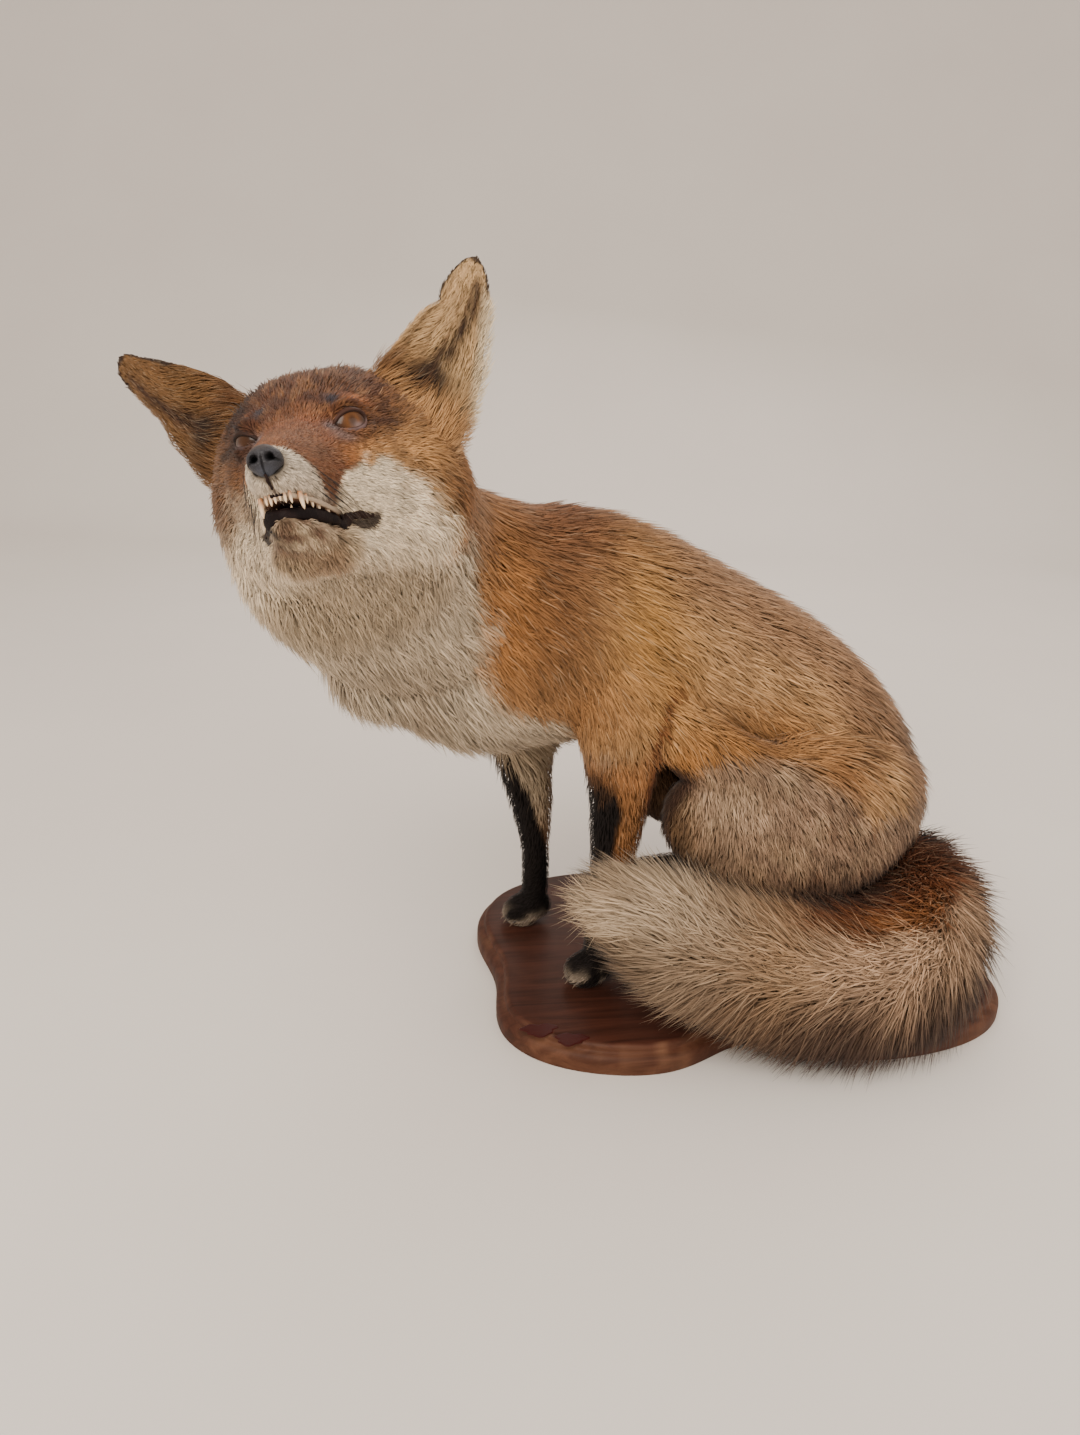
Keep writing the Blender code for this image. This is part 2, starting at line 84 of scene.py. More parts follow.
def out_of(place, points):
    """Points of a frame, in the model's metres."""
    return np.asarray(points, float) @ place[:3, :3].T + place[:3, 3]


def into(place, points):
    """The model's points, in a frame's centimetres."""
    return (np.asarray(points, float) - place[:3, 3]) @ np.linalg.inv(place[:3, :3]).T


def turn_out_of(place, ways):
    """Directions of a frame, as directions of the model."""
    return unit(np.asarray(ways, float) @ place[:3, :3].T)


# ---------------------------------------------------------------- sums on whole arrays

def unit(vectors):
    """Each vector at length one."""
    size = np.linalg.norm(vectors, axis=-1, keepdims=True)
    return vectors / np.maximum(size, 1e-12)


def dot(a, b):
    """The scalar product of each pair of vectors."""
    return (a * b).sum(axis=-1)


def step(low, high, values):
    """0 below low, 1 above high, and between them a smooth rise: three times the share's square
    less twice its cube. Low may be the larger."""
    t = np.clip((np.asarray(values, float) - low) / (high - low), 0, 1)
    return t * t * (3 - 2 * t)


def held(values):
    """Values kept from 0 to 1."""
    return np.clip(values, 0, 1)


def bell(values, width):
    """A bell, 1 at zero, the exponential of minus the square of values over width."""
    return np.exp(-(values / width) ** 2)


def bump(points, middle, radii):
    """A bell about a middle, the exponential of minus the square of the distance in radii."""
    away = (points - np.array(middle, float)) / np.array(radii, float)
    return np.exp(-dot(away, away))


def round_turn(count):
    """Angles evenly round a full turn."""
    return np.linspace(0, TURN, count, endpoint=False)


def squarish(turn, power):
    """A circle's cosine and sine drawn out toward a square: each keeps its sign, and its size is
    raised to two over the power."""
    return [np.sign(way) * np.abs(way) ** (2 / power) for way in (np.cos(turn), np.sin(turn))]


def between(rows, steps):
    """Rows of numbers with a smooth curve run through them, steps to each gap."""
    rows = np.array(rows, float)
    ends = np.vstack((2 * rows[0] - rows[1], rows, 2 * rows[-1] - rows[-2]))
    t = np.linspace(0, 1, steps, endpoint=False)[None, :, None]
    a, b, c, d = (ends[k:len(ends) - 3 + k, None, :] for k in range(4))
    bend = (2 * a - 5 * b + 4 * c - d) * t**2 + (3 * b - a - 3 * c + d) * t**3
    curve = b + 0.5 * ((c - a) * t + bend)
    return np.vstack((curve.reshape(-1, rows.shape[1]), rows[-1:]))


def hashed(cells, seed):
    """A repeatable number from 0 to 1 for each whole-number cell."""
    n = cells.astype(np.int64) @ np.array((73856093, 19349663, 83492791)) + seed * 7919
    n = (n ^ (n >> 13)) & 0xFFFFFFFF
    n = (n * 1274126177) & 0xFFFFFFFF
    n = n ^ (n >> 15)
    n = (n * 668265263) & 0xFFFFFFFF
    return ((n ^ (n >> 16)) & 0xFFFFFF) / 0x1000000


def cloudy(points, size, seed):
    """Smooth noise from -1 to 1: numbers on a lattice of that size, blended between its corners."""
    place = points / size
    cell = np.floor(place).astype(np.int64)
    t = place - cell
    t = t * t * (3 - 2 * t)
    total = np.zeros(len(points))
    for corner in np.ndindex(2, 2, 2):
        share = np.prod(np.where(np.array(corner) == 1, t, 1 - t), axis=1)
        total += share * hashed(cell + np.array(corner), seed)
    return 2 * total - 1


def nearest_lock(points, size, seed):
    """The nearest of one scattered middle per lattice cell, and that middle's own number."""
    cell = np.floor(points / size).astype(np.int64)
    best = np.full(len(points), 1e9)
    middle = np.zeros_like(points)
    number = np.zeros(len(points))
    for corner in np.ndindex(3, 3, 3):
        here = cell + np.array(corner) - 1
        shift = np.stack([hashed(here, seed + k) for k in range(3)], axis=1)
        spot = (here + shift) * size
        away = dot(spot - points, spot - points)
        closer = away < best
        best = np.where(closer, away, best)
        middle[closer] = spot[closer]
        number[closer] = hashed(here[closer], seed + 3)
    return middle, number


def colour(red, green, blue):
    """A colour given as a screen shows it, 0 to 255, turned to the linear light of materials."""
    value = np.array((red, green, blue), float) / 255
    return np.where(value <= 0.04045, value / 12.92, ((value + 0.055) / 1.055) ** 2.4)


# ---------------------------------------------------------------- meshes from arrays

def sheet_faces(rows, columns, closed=True):
    """Quads of a grid of points, row after row; closed joins each row's end to its start."""
    r, c = np.meshgrid(np.arange(rows - 1), np.arange(columns if closed else columns - 1), indexing="ij")
    here, after = r * columns + c, r * columns + (c + 1) % columns
    return np.stack((here, after, after + columns, here + columns), axis=-1).reshape(-1, 4)


def lidded(rings):
    """A closed body from a stack of rings: its points, and its faces with a fan at each end."""
    rows, columns = rings.shape[:2]
    points = np.vstack((rings.reshape(-1, 3), rings[0].mean(axis=0), rings[-1].mean(axis=0)))
    around = np.arange(columns)
    after = (around + 1) % columns
    first = np.stack((after, around, np.full(columns, rows * columns)), axis=1)
    last = (rows - 1) * columns
    final = np.stack((last + around, last + after, np.full(columns, rows * columns + 1)), axis=1)
    return points, sheet_faces(rows, columns).tolist() + first.tolist() + final.tolist()


def closed(place, rings):
    """A closed body from rings in a frame's centimetres: its points in metres, and its faces."""
    points, faces = lidded(rings)
    return out_of(place, points), faces


def joined(shapes):
    """Several (points, faces) as one, faces counted on."""
    points, faces, start = [], [], 0
    for some, theirs in shapes:
        points.append(some)
        faces.extend([[start + i for i in face] for face in theirs])
        start += len(some)
    return np.vstack(points), faces


def mesh_object(name, points, faces, outward=True):
    """A mesh object at the origin from metres."""
    mesh = bpy.data.meshes.new(name)
    mesh.from_pydata(np.asarray(points).tolist(), [], [list(map(int, face)) for face in faces])
    if outward:
        shape = bmesh.new()
        shape.from_mesh(mesh)
        bmesh.ops.recalc_face_normals(shape, faces=shape.faces)
        shape.to_mesh(mesh)
        shape.free()
    mesh.shade_smooth()
    made = bpy.data.objects.new(name, mesh)
    bpy.context.scene.collection.objects.link(made)
    return made


def piece(item, material, slot, *nodes):
    """Dresses a finished piece and lets it stand for its solids; its slot is not used."""
    item.data.materials.clear()
    item.data.materials.append(material)
    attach(item, "root")
    if nodes:
        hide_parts(*nodes)
    return item


def write_colour(item, values, name="tint"):
    """One colour per point."""
    layer = item.data.attributes.new(name, "FLOAT_COLOR", "POINT")
    whole = np.column_stack((values, np.ones(len(values)))).astype(np.float32)
    layer.data.foreach_set("color", whole.ravel())


def write_value(item, name, values):
    """One number per point."""
    layer = item.data.attributes.new(name, "FLOAT", "POINT")
    layer.data.foreach_set("value", np.asarray(values, np.float32))


def carried(path, widths, heights, sideways, points=24):
    """Rings of an oval profile carried square along a path: the half width lies sideways."""
    sideways = np.array(sideways, float)
    along = unit(np.gradient(path, axis=0))
    side = unit(sideways - along * dot(along, np.broadcast_to(sideways, along.shape))[:, None])
    up = np.cross(along, side)
    wide, high = squarish(round_turn(points), 2)
    flat = side[:, None] * (wide[:, None] * widths[:, None, None])
    return path[:, None] + flat + up[:, None] * (high[:, None] * heights[:, None, None])


def rounded(rings, near, far):
    """Domes of shrinking rings on both ends of a stack; near and far are how far they reach."""
    angles = np.radians((80, 55, 28))
    first, last = rings[0].mean(axis=0), rings[-1].mean(axis=0)
    back = unit(first - rings[1].mean(axis=0))
    ahead = unit(last - rings[-2].mean(axis=0))
    start = [first + (rings[0] - first) * math.cos(a) + back * near * math.sin(a) for a in angles]
    end = [last + (rings[-1] - last) * math.cos(a) + ahead * far * math.sin(a) for a in angles[::-1]]
    return np.concatenate((start, rings, end))


def ball(middle=(0, 0, 0), radii=(1, 1, 1), rings=24, points=32):
    """An ellipsoid: rows of latitude by columns of longitude, its poles on x."""
    rise = np.linspace(-0.5 * math.pi, 0.5 * math.pi, rings + 2)[1:-1]
    rise, turn = np.meshgrid(rise, round_turn(points), indexing="ij")
    shape = np.stack((np.sin(rise), np.cos(rise) * np.cos(turn), np.cos(rise) * np.sin(turn)), axis=-1)
    return np.array(middle, float) + shape * np.array(radii, float)


# ---------------------------------------------------------------- materials

def sum_by(operation, turned=False):
    """A method that puts a socket through a Math node with a number or another socket."""
    def made(self, other):
        pair = (other, self) if turned else (self, other)
        return self.shader.node("ShaderNodeMath", {"operation": operation}, dict(enumerate(pair)))
    return made


class Socket:
    """A node's output with arithmetic: numbers by Math nodes."""

    __add__ = sum_by("ADD")
    __radd__ = sum_by("ADD", turned=True)
    __sub__ = sum_by("SUBTRACT")
    __rsub__ = sum_by("SUBTRACT", turned=True)
    __mul__ = sum_by("MULTIPLY")

    def __init__(self, shader, link):
        self.shader = shader
        self.link = link

    def between(self, low, high):
        """A smooth rise from 0 at low to 1 at high."""
        settings = {"interpolation_type": "SMOOTHSTEP"}
        inputs = {"Value": self, "From Min": low, "From Max": high}
        return self.shader.node("ShaderNodeMapRange", settings, inputs)


class Finish:
    """A material whose principled shader takes links and numbers."""

    def __init__(self, name, **inputs):
        self.material = bpy.data.materials.new(name)
        self.material.use_nodes = True
        self.tree = self.material.node_tree
        self.shader = self.tree.nodes["Principled BSDF"]
        self.set(**inputs)

    def set(self, **inputs):
        """Values or links of the shader's sockets, their names with _ for a space."""
        for name, value in inputs.items():
            self._give(self.shader.inputs[name.replace("_", " ")], value)
        return self.material

    def _give(self, socket, value):
        if isinstance(value, Socket):
            self.tree.links.new(value.link, socket)
        elif socket.type == "RGBA":
            socket.default_value = (*value, 1)
        elif socket.type == "VECTOR":
            socket.default_value = tuple(value)
        else:
            socket.default_value = float(value)

    def node(self, kind, settings=None, inputs=None, output=0):
        """Any node: its settings first, then its sockets; returns one output."""
        made = self.tree.nodes.new(kind)
        for name, value in (settings or {}).items():
            setattr(made, name, value)
        for name, value in (inputs or {}).items():
            self._give(made.inputs[name], value)
        return Socket(self, made.outputs[output])

    def place(self, scale=(1, 1, 1), turn=(0, 0, 0)):
        """The piece's own place, turned and stretched."""
        here = self.node("ShaderNodeTexCoord", output="Object")
        return self.node("ShaderNodeMapping", None, {"Vector": here, "Rotation": turn, "Scale": scale})

    def attribute(self, name, output="Fac"):
        return self.node("ShaderNodeAttribute", {"attribute_name": name}, output=output)

    def noise(self, where, scale, detail=3, roughness=0.55, distortion=0):
        inputs = {"Vector": where, "Scale": scale, "Detail": detail, "Roughness": roughness}
        return self.node("ShaderNodeTexNoise", None, {**inputs, "Distortion": distortion}, output="Fac")

    def cells(self, scale):
        return self.node("ShaderNodeTexVoronoi", None, {"Vector": self.place(), "Scale": scale})

    def blend(self, share, first, second):
        """Colours mixed by a share; Mix nodes number their colour sockets 6 and 7, and give out 2."""
        return self.node("ShaderNodeMix", {"data_type": "RGBA"}, {0: share, 6: first, 7: second}, output=2)

    def scaled(self, tint, factor):
        """A colour made lighter or darker by a number that varies."""
        grey = self.node("ShaderNodeCombineXYZ", None, {0: factor, 1: factor, 2: factor})
        return self.node("ShaderNodeVectorMath", {"operation": "MULTIPLY"}, {0: tint, 1: grey})

    def relief(self, height, distance, strength=1, under=None):
        """Fine relief from a height, over another relief where one is given."""
        inputs = {"Strength": strength, "Distance": distance, "Height": height}
        if under is not None:
            inputs["Normal"] = under
        return self.node("ShaderNodeBump", None, inputs)


def coat_finish():
    """Hair: its own tint, streaked along and between the locks, with a soft sheen."""
    made = Finish("fox_coat", Specular_IOR_Level=0.16, Sheen_Weight=0.06, Sheen_Roughness=0.5)
    fine = made.noise(made.place(), 900, 2)
    broad = made.noise(made.place(), 55)
    tint = made.scaled(made.attribute("tint", "Color"), 0.72 + fine * 0.3 + broad * 0.26)
    return made.set(Base_Color=tint, Roughness=0.62 + broad * 0.25)


def skin_finish():
    """The hide under the coat: the same markings, deeper, with the nap of short underfur."""
    made = Finish("fox_skin", Specular_IOR_Level=0.15)
    nap = made.noise(made.place(scale=(1, 1, 0.5)), 1400, 3, 0.7)
    patch = made.noise(made.place(), 120, 4)
    tint = made.scaled(made.attribute("tint", "Color"), 0.45 + nap * 0.5 + patch * 0.3)
    return made.set(Base_Color=tint, Roughness=0.85 + patch * 0.1, Normal=made.relief(nap, 0.0006, 0.8))


def bare_finish(name, roughness, specular):
    """Naked skin of lids and lips: its own tint, wrinkled and pored."""
    made = Finish(name, Specular_IOR_Level=specular)
    wrinkles = made.noise(made.place(scale=(1, 1, 2.2)), 500, 4, 0.6, 0.6)
    tint = made.scaled(made.attribute("tint", "Color"), 0.7 + wrinkles * 0.6)
    folds = made.relief(wrinkles * 0.7 + made.cells(1500) * 0.3, 0.0004, 0.7)
    return made.set(Base_Color=tint, Roughness=roughness + wrinkles * 0.2, Normal=folds)


def nose_finish():
    """Nose leather: slate black, cobbled, paler and drier on its crown."""
    made = Finish("nose_leather", Specular_IOR_Level=0.25, Coat_Weight=0.05, Coat_Roughness=0.3)
    cobbles = made.cells(1150)
    dry = made.noise(made.place(), 260, 4)
    tint = made.scaled(made.attribute("tint", "Color"), 0.62 + dry * 0.6 + cobbles * 0.35)
    grain = made.relief(cobbles, 0.0003, 0.85, made.relief(dry, 0.0006, 0.35))
    return made.set(Base_Color=tint, Roughness=0.42 + dry * 0.22, Normal=grain)


def tooth_finish():
    """Old ivory: peach cream, browner toward the gum."""
    made = Finish("teeth", Specular_IOR_Level=0.5, Coat_Weight=0.3, Coat_Roughness=0.15)
    stain = made.noise(made.place(scale=(1, 1, 0.3)), 420, 4)
    ivory = made.blend(made.attribute("root").between(0.25, 1), colour(240, 212, 176), colour(176, 124, 84))
    return made.set(Base_Color=made.scaled(ivory, 0.75 + stain * 0.5), Roughness=0.25 + stain * 0.2)


def horn_finish():
    """Claws: dark horn, paler and worn at the point, ridged along."""
    made = Finish("claw_horn", Specular_IOR_Level=0.45, Coat_Weight=0.15, Coat_Roughness=0.3)
    ridges = made.noise(made.place(scale=(1, 1, 0.25)), 1500)
    horn = made.blend(made.attribute("root").between(0, 0.8), colour(112, 92, 74), colour(34, 27, 23))
    horn = made.scaled(horn, 0.7 + ridges * 0.6)
    return made.set(Base_Color=horn, Roughness=0.32 + ridges * 0.2, Normal=made.relief(ridges, 0.0002, 0.6))


def whisker_finish():
    """Whiskers: near black at the root, paler toward the point."""
    made = Finish("whiskers", Specular_IOR_Level=0.4)
    root = made.attribute("root")
    tint = made.blend(root.between(0, 0.5), colour(120, 100, 84), colour(22, 18, 16))
    return made.set(Base_Color=tint, Roughness=0.4 + root * 0.1)


def eye_finish():
    """A glass eye: dark rim, amber iris with streaks from an upright pupil, and a painted pale reflection low
    down.
    """
    made = Finish("glass_eye", Specular_IOR_Level=0.15, Coat_Weight=0.16, Coat_Roughness=0.08, Coat_IOR=1.5)
    out, around, slit = (made.attribute(name) for name in ("iris_out", "iris_around", "pupil_out"))
    fan = made.node("ShaderNodeCombineXYZ", None, {0: around * 9, 1: out * 1.4})
    fibres = made.noise(fan, 3.2, 4, 0.7)
    depth = made.noise(made.place(), 350, 2)
    iris = made.blend(out.between(0.2, 0.95), colour(118, 74, 38), colour(62, 36, 20))
    iris = made.scaled(iris, 0.34 + fibres * 0.66)
    iris = made.blend((1 - slit.between(0.3, 1.35)) * 0.7, iris, colour(26, 15, 11))
    # a painted pale reflection, blended in where haze is written
    iris = made.blend(made.attribute("haze") * 0.42, iris, colour(140, 124, 128))
    eye = made.blend(out.between(0.86, 1.03), iris, made.scaled(colour(34, 19, 13), 0.7 + depth * 0.6))
    return made.set(Base_Color=eye, Roughness=0.2 + depth * 0.08)


def wood_finish():
    """Varnished board: dark red-brown with long grain, worn lighter on the moulded edge."""
    made = Finish("varnished_wood", Specular_IOR_Level=0.14, Coat_Roughness=0.3)
    edge, knock, spill = (made.attribute(name) for name in ("edge", "knock", "spill"))
    long_grain = made.place(scale=(1, 13, 13), turn=(0.02, 0, 0.05))
    figure = made.noise(long_grain, 7, 5, 0.6, 1.2)
    pores = made.noise(made.place(scale=(1, 34, 34)), 30, 3, 0.7)
    haze = made.noise(made.place(), 14, 4)
    dark = made.blend(figure.between(0.32, 0.68), colour(50, 25, 17), colour(74, 40, 29))
    worn = made.blend(figure.between(0.3, 0.7), colour(76, 45, 30), colour(98, 64, 45))
    wood = made.blend(edge * (0.55 + haze * 0.5), dark, worn)
    wood = made.blend(knock * 0.35, wood, colour(150, 108, 80))
    wood = made.scaled(wood, 0.7 + pores * 0.3 + haze * 0.14)
    wood = made.blend(haze.between(0.45, 0.8) * 0.1, wood, colour(110, 84, 72))
    wood = made.blend(spill * 0.85, wood, colour(58, 11, 8))
    grain = made.relief(figure * 0.6 + pores * 0.4, 0.0005, 0.35, made.relief(haze, 0.0012, 0.25))
    made.set(Roughness=0.52 + haze * 0.2 - spill * 0.1, Coat_Weight=0.05 + spill * 0.05 - edge * 0.03)
    return made.set(Base_Color=wood, Normal=grain)


def floor_finish():
    """A matt pale floor."""
    made = Finish("studio_floor", Specular_IOR_Level=0.2)
    dust = made.noise(made.place(), 3, 4)
    tint = made.blend(dust, colour(214, 206, 199), colour(222, 215, 208))
    return made.set(Base_Color=tint, Roughness=0.8 + dust * 0.1)


# ---------------------------------------------------------------- the body's shape

# Tubes of flesh: x, y, z of the middle, half width, half height, out to the tips of the coat
TRUNK = (
    (-13.2, -0.4, 27.4, 4.6, 5.6),
    (-8, 0, 27.4, 6.8, 8.4),
    (-1.5, 0, 27.5, 7.3, 8.6),
    (4, 0, 26.6, 7.4, 8),
    (10, 0, 24.4, 7.3, 7),
    (16, 0, 21.1, 7.6, 7),
    (21.5, 0, 16.6, 8, 6.8),
    (24.8, 0, 11.4, 7.4, 6.2),
    (26.3, 0, 6.4, 6.2, 5),
    (26.4, 0, 3.6, 4.8, 4.4),
)
NECK = (
    (-3, 0, 28.4, 6.6, 7.4),
    (-8.5, -0.6, 30.2, 6.8, 7.5),
    (-12.8, -2.4, 32.2, 7, 7.5),
    (-15.8, -5.4, 35.2, 7.2, 7.8),
    (-17.4, -8.8, 37.4, 7.2, 7.2),
    (-18.2, -11.4, 38.4, 6.6, 5.8),
)
FORELEG_LEFT = (
    (2, -3.6, 27.5, 3, 4.8),
    (2.4, -4.6, 22.5, 2.9, 3.6),
    (2.7, -4.9, 18.5, 2.4, 2.7),
    (2.6, -4.9, 14.5, 2, 2.3),
    (2.3, -4.9, 10.5, 1.7, 1.85),
    (1.9, -4.9, 6.5, 1.5, 1.5),
    (1.7, -4.9, 3.2, 1.5, 1.5),
)
FORELEG_RIGHT = (
    (-1.2, 3.8, 27.5, 3, 4.8),
    (-1.6, 4.6, 20.5, 2.8, 3.2),
    (-1.4, 4.9, 15.5, 2.1, 2.3),
    (-0.8, 4.9, 11, 1.7, 1.85),
    (-0.4, 4.9, 7, 1.4, 1.4),
    (-0.3, 4.9, 3.2, 1.4, 1.35),
)
THIGH = (
    (24.6, -4.4, 12.6, 4.4, 5.8),
    (21, -6.2, 12.6, 4.9, 7.2),
    (16, -7.2, 12.8, 5, 7.4),
    (11.2, -7.6, 13.8, 4.4, 6.4),
    (8, -7.6, 15, 3.2, 4.4),
)
SHANK = (
    (9.6, -7.6, 12.6, 2.9, 3.4),
    (14.6, -7.9, 8, 2.4, 2.8),
    (19.6, -8, 4.4, 1.9, 2.2),
    (22.2, -8, 2.4, 1.7, 1.7),
)
HIND_FOOT = (
    (23, -8, 1.9, 1.4, 1.6),
    (17, -7.8, 1.6, 1.4, 1.4),
    (11.6, -7.7, 1.5, 1.7, 1.4),
    (8.4, -7.7, 1.3, 1.9, 1.2),
)
# The loose fold of skin between flank and thigh
FLANK_FOLD = (
    (5.4, -5.4, 21.4, 2.6, 2.8),
    (8.6, -7.2, 19, 2.9, 3),
    (12.5, -8.2, 16.8, 3.2, 3.2),
)
# A forefoot from wrist to toes, counted from its leg's foot
FOREFOOT = (
    (0.3, 0, 1.6, 1.25, 1.3),
    (-0.8, 0, 1.45, 1.5, 1.35),
    (-1.7, 0, 1.15, 1.6, 1.15),
)
TAIL = (
    (27.6, 1.4, 5, 3, 2.8),
    (29.4, -3, 5, 4.2, 3.9),
    (28.2, -8.2, 4.4, 5, 4.9),
    (24, -12.4, 3.5, 5.6, 5.1),
    (18, -13.8, 3.3, 5.9, 5),
    (11.8, -13.4, 4.4, 5.4, 5.1),
    (6.4, -12.6, 6.4, 5, 5),
    (2.8, -12, 8.6, 5, 4.9),
    (0.8, -11.6, 9.9, 4.2, 4.1),
)
# The head: x, half width, top, bottom, and the coat's depth there
HEAD_ROWS = (
    (7.9, 0.78, -2.1, -3.65, 0.1),
    (7.2, 1.12, -1.7, -4, 0.12),
    (6.2, 1.36, -1.3, -4.15, 0.14),
    (4.8, 1.6, -0.8, -4.35, 0.15),
    (3.2, 2, -0.15, -4.7, 0.18),
    (1.7, 2.8, 0.8, -5.4, 0.22),
    (0.3, 3.5, 1.8, -6.2, 0.3),
    (-1.5, 4.7, 3, -6.8, 0.45),
    (-3.8, 6.2, 3.9, -7.3, 0.65),
    (-6.2, 7.1, 4.1, -7.7, 0.85),
    (-8.6, 7, 3.6, -7.8, 0.9),
    (-11, 6.2, 2.6, -7.4, 0.9),
)
JAW_ROWS = (
    (6.9, 0.55, -4.7, -5.3, 0.1),
    (6.3, 0.95, -4.55, -5.6, 0.12),
    (4.8, 1.3, -4.62, -5.95, 0.15),
    (3, 1.75, -4.75, -6.35, 0.15),
    (1, 2.3, -4.8, -6.6, 0.2),
    (-2, 2.6, -4.8, -6.6, 0.25),
)
# Folds of the face: middle in the head's frame, radii, rise; the other side mirrors them
FACE_FOLDS = (
    ((0.45, 2.65, 0.95), (1, 0.9, 0.4), 0.3),
    ((2.7, 1.5, 0), (0.9, 0.7, 0.7), -0.22),
    ((1.4, 2.9, -1.5), (0.9, 0.7, 0.4), -0.1),
    ((-0.6, 3.9, -1.5), (1.4, 1.2, 0.8), 0.22),
    ((5.9, 1.5, -3.1), (1.3, 0.7, 0.7), 0.16),
    ((3.2, 2.1, -3.7), (0.5, 0.7, 0.9), -0.12),
    ((-0.9, 0, 2.7), (1.6, 0.45, 0.7), -0.1),
    ((2, 0, 0.3), (1.1, 0.7, 0.7), -0.12),
)
COAT_DEPTH = {"trunk": 0.9, "neck": 1.1, "leg": 0.35, "paw": 0.15, "thigh": 0.8, "shank": 0.5, "foot": 0.2}
TAIL_DEPTH = 2.3
TAIL_TIP_DEPTH = 3
TOE_SPREAD = 0.82
TOE_ROOTS = (-1.5, -0.5, 0.5, 1.5)
VOXEL = 0.003
# Rings to each gap between rows, and points round a section of the head
ROW_STEPS = 4
TAIL_STEPS = 5
HEAD_POINTS = 40
# The sign of y for each of the fox's sides, in the head's frame
SIDES = {"left": 1, "right": -1}

EYE_MIDDLE = (0.25, 2.05, -0.2)
EYE_RADIUS = 1.12
EYE_LOOKS = (0.80, 0.59, 0.05)
LID_HALF_LENGTH = 0.98
LID_RISE = {"left": 0.40, "right": 0.27}
LID_DROP = {"left": 0.36, "right": 0.22}
SOCKET_RISE = 0.5
SOCKET_DROP = 0.45


def mirrored(rows):
    """Rows of the left side as rows of the right."""
    return tuple((x, -y, *rest) for x, y, *rest in rows)


def tube(rows, depth):
    """An oval tube through its rows, smaller all round by the coat's depth, with domed ends."""
    rows = between(rows, ROW_STEPS)
    size = np.maximum(rows[:, 3:5] - depth, 0.3)
    rings = carried(rows[:, :3], size[:, 0], size[:, 1], (0, 1, 0))
    return closed(FOX, rounded(rings, size[0].min(), size[-1].min()))


def head_form(rows, power):
    """Upright superellipse sections along x, smaller all round by the coat's depth."""
    x, half, top, bottom, depth = between(rows, ROW_STEPS).T
    half, top, bottom = half - depth, top - depth, bottom + depth
    wide, high = squarish(round_turn(HEAD_POINTS), power)
    across = half[:, None] * wide
    upright = (top + bottom)[:, None] / 2 + (top - bottom)[:, None] / 2 * high
    rings = np.stack((np.broadcast_to(x[:, None], across.shape), across, upright), axis=-1)
    return closed(HEAD, rounded(rings, 0.5, 0.5))


def paw_rows(leg):
    """A forepaw's rows, set out from the end of its leg."""
    x, y = leg[-1][:2]
    return tuple((x + ahead, y + aside, z, wide, high) for ahead, aside, z, wide, high in FOREFOOT)


# Where the toes fan from: x, y, z and how far ahead they reach
TOES = (
    (1.2, -4.9, 0.8, 1.1),
    (-0.8, 4.9, 0.8, 1.1),
    (9.6, -7.7, 0.8, 1.2),
    (9.6, 7.7, 0.8, 1.2),
)


def toes(x, y, z, reach):
    """Four knuckled toes fanned out in front of a foot."""
    made = []
    for share in TOE_ROOTS:
        aside = share * TOE_SPREAD
        lead = reach - 0.35 * abs(share)
        made.append(closed(FOX, ball((x - lead, y + aside * 0.8, z), (1, 0.42, 0.62), 12, 16)))
    return made


def tail_depth(rows):
    """The tail's coat is deepest at its tip."""
    share = np.linspace(0, 1, len(rows))
    return TAIL_DEPTH + (TAIL_TIP_DEPTH - TAIL_DEPTH) * step(0.7, 1, share)


def tail_core():
    """The tail's flesh and underfur, a tube well inside the brush."""
    rows = between(TAIL, TAIL_STEPS)
    size = np.maximum(rows[:, 3:5] - tail_depth(rows)[:, None], 0.8)
    rings = carried(rows[:, :3], size[:, 1], size[:, 0], (0, 0, 1))
    return closed(FOX, rounded(rings, 1, size[-1].min()))


def flesh():
    """Trunk, neck, head, legs and tail run together into one closed skin, as its rough mesh."""
    shapes = [tube(TRUNK, COAT_DEPTH["trunk"]), tube(NECK, COAT_DEPTH["neck"])]
    shapes += [head_form(HEAD_ROWS, 2.3), head_form(JAW_ROWS, 2.2), tail_core()]
    for leg in (FORELEG_LEFT, FORELEG_RIGHT):
        shapes.append(tube(leg, COAT_DEPTH["leg"]))
        shapes.append(tube(paw_rows(leg), COAT_DEPTH["paw"]))
    for rows, depth in ((THIGH, "thigh"), (FLANK_FOLD, "thigh"), (SHANK, "shank"), (HIND_FOOT, "foot")):
        shapes.append(tube(rows, COAT_DEPTH[depth]))
        shapes.append(tube(mirrored(rows), COAT_DEPTH[depth]))
    for toe in TOES:
        shapes += toes(*toe)
    rough = mesh_object("fox_skin", *joined(shapes))
    merge = rough.modifiers.new("merge", "REMESH")
    merge.mode = "VOXEL"
    merge.voxel_size = VOXEL
    graph = bpy.context.evaluated_depsgraph_get()
    rough.data = bpy.data.meshes.new_from_object(rough.evaluated_get(graph))
    rough.modifiers.clear()
    return rough


def read(items, name, width, kind=np.float32):
    """One value of each item of a mesh, as rows of that width."""
    values = np.empty(len(items) * width, kind)
    items.foreach_get(name, values)
    return values.reshape(-1, width)


def points_of(mesh):
    return read(mesh.vertices, "co", 3).astype(float)


def normals_of(mesh):
    return read(mesh.vertex_normals, "vector", 3).astype(float)


def edges_of(mesh):
    return read(mesh.edges, "vertices", 2, np.int32)


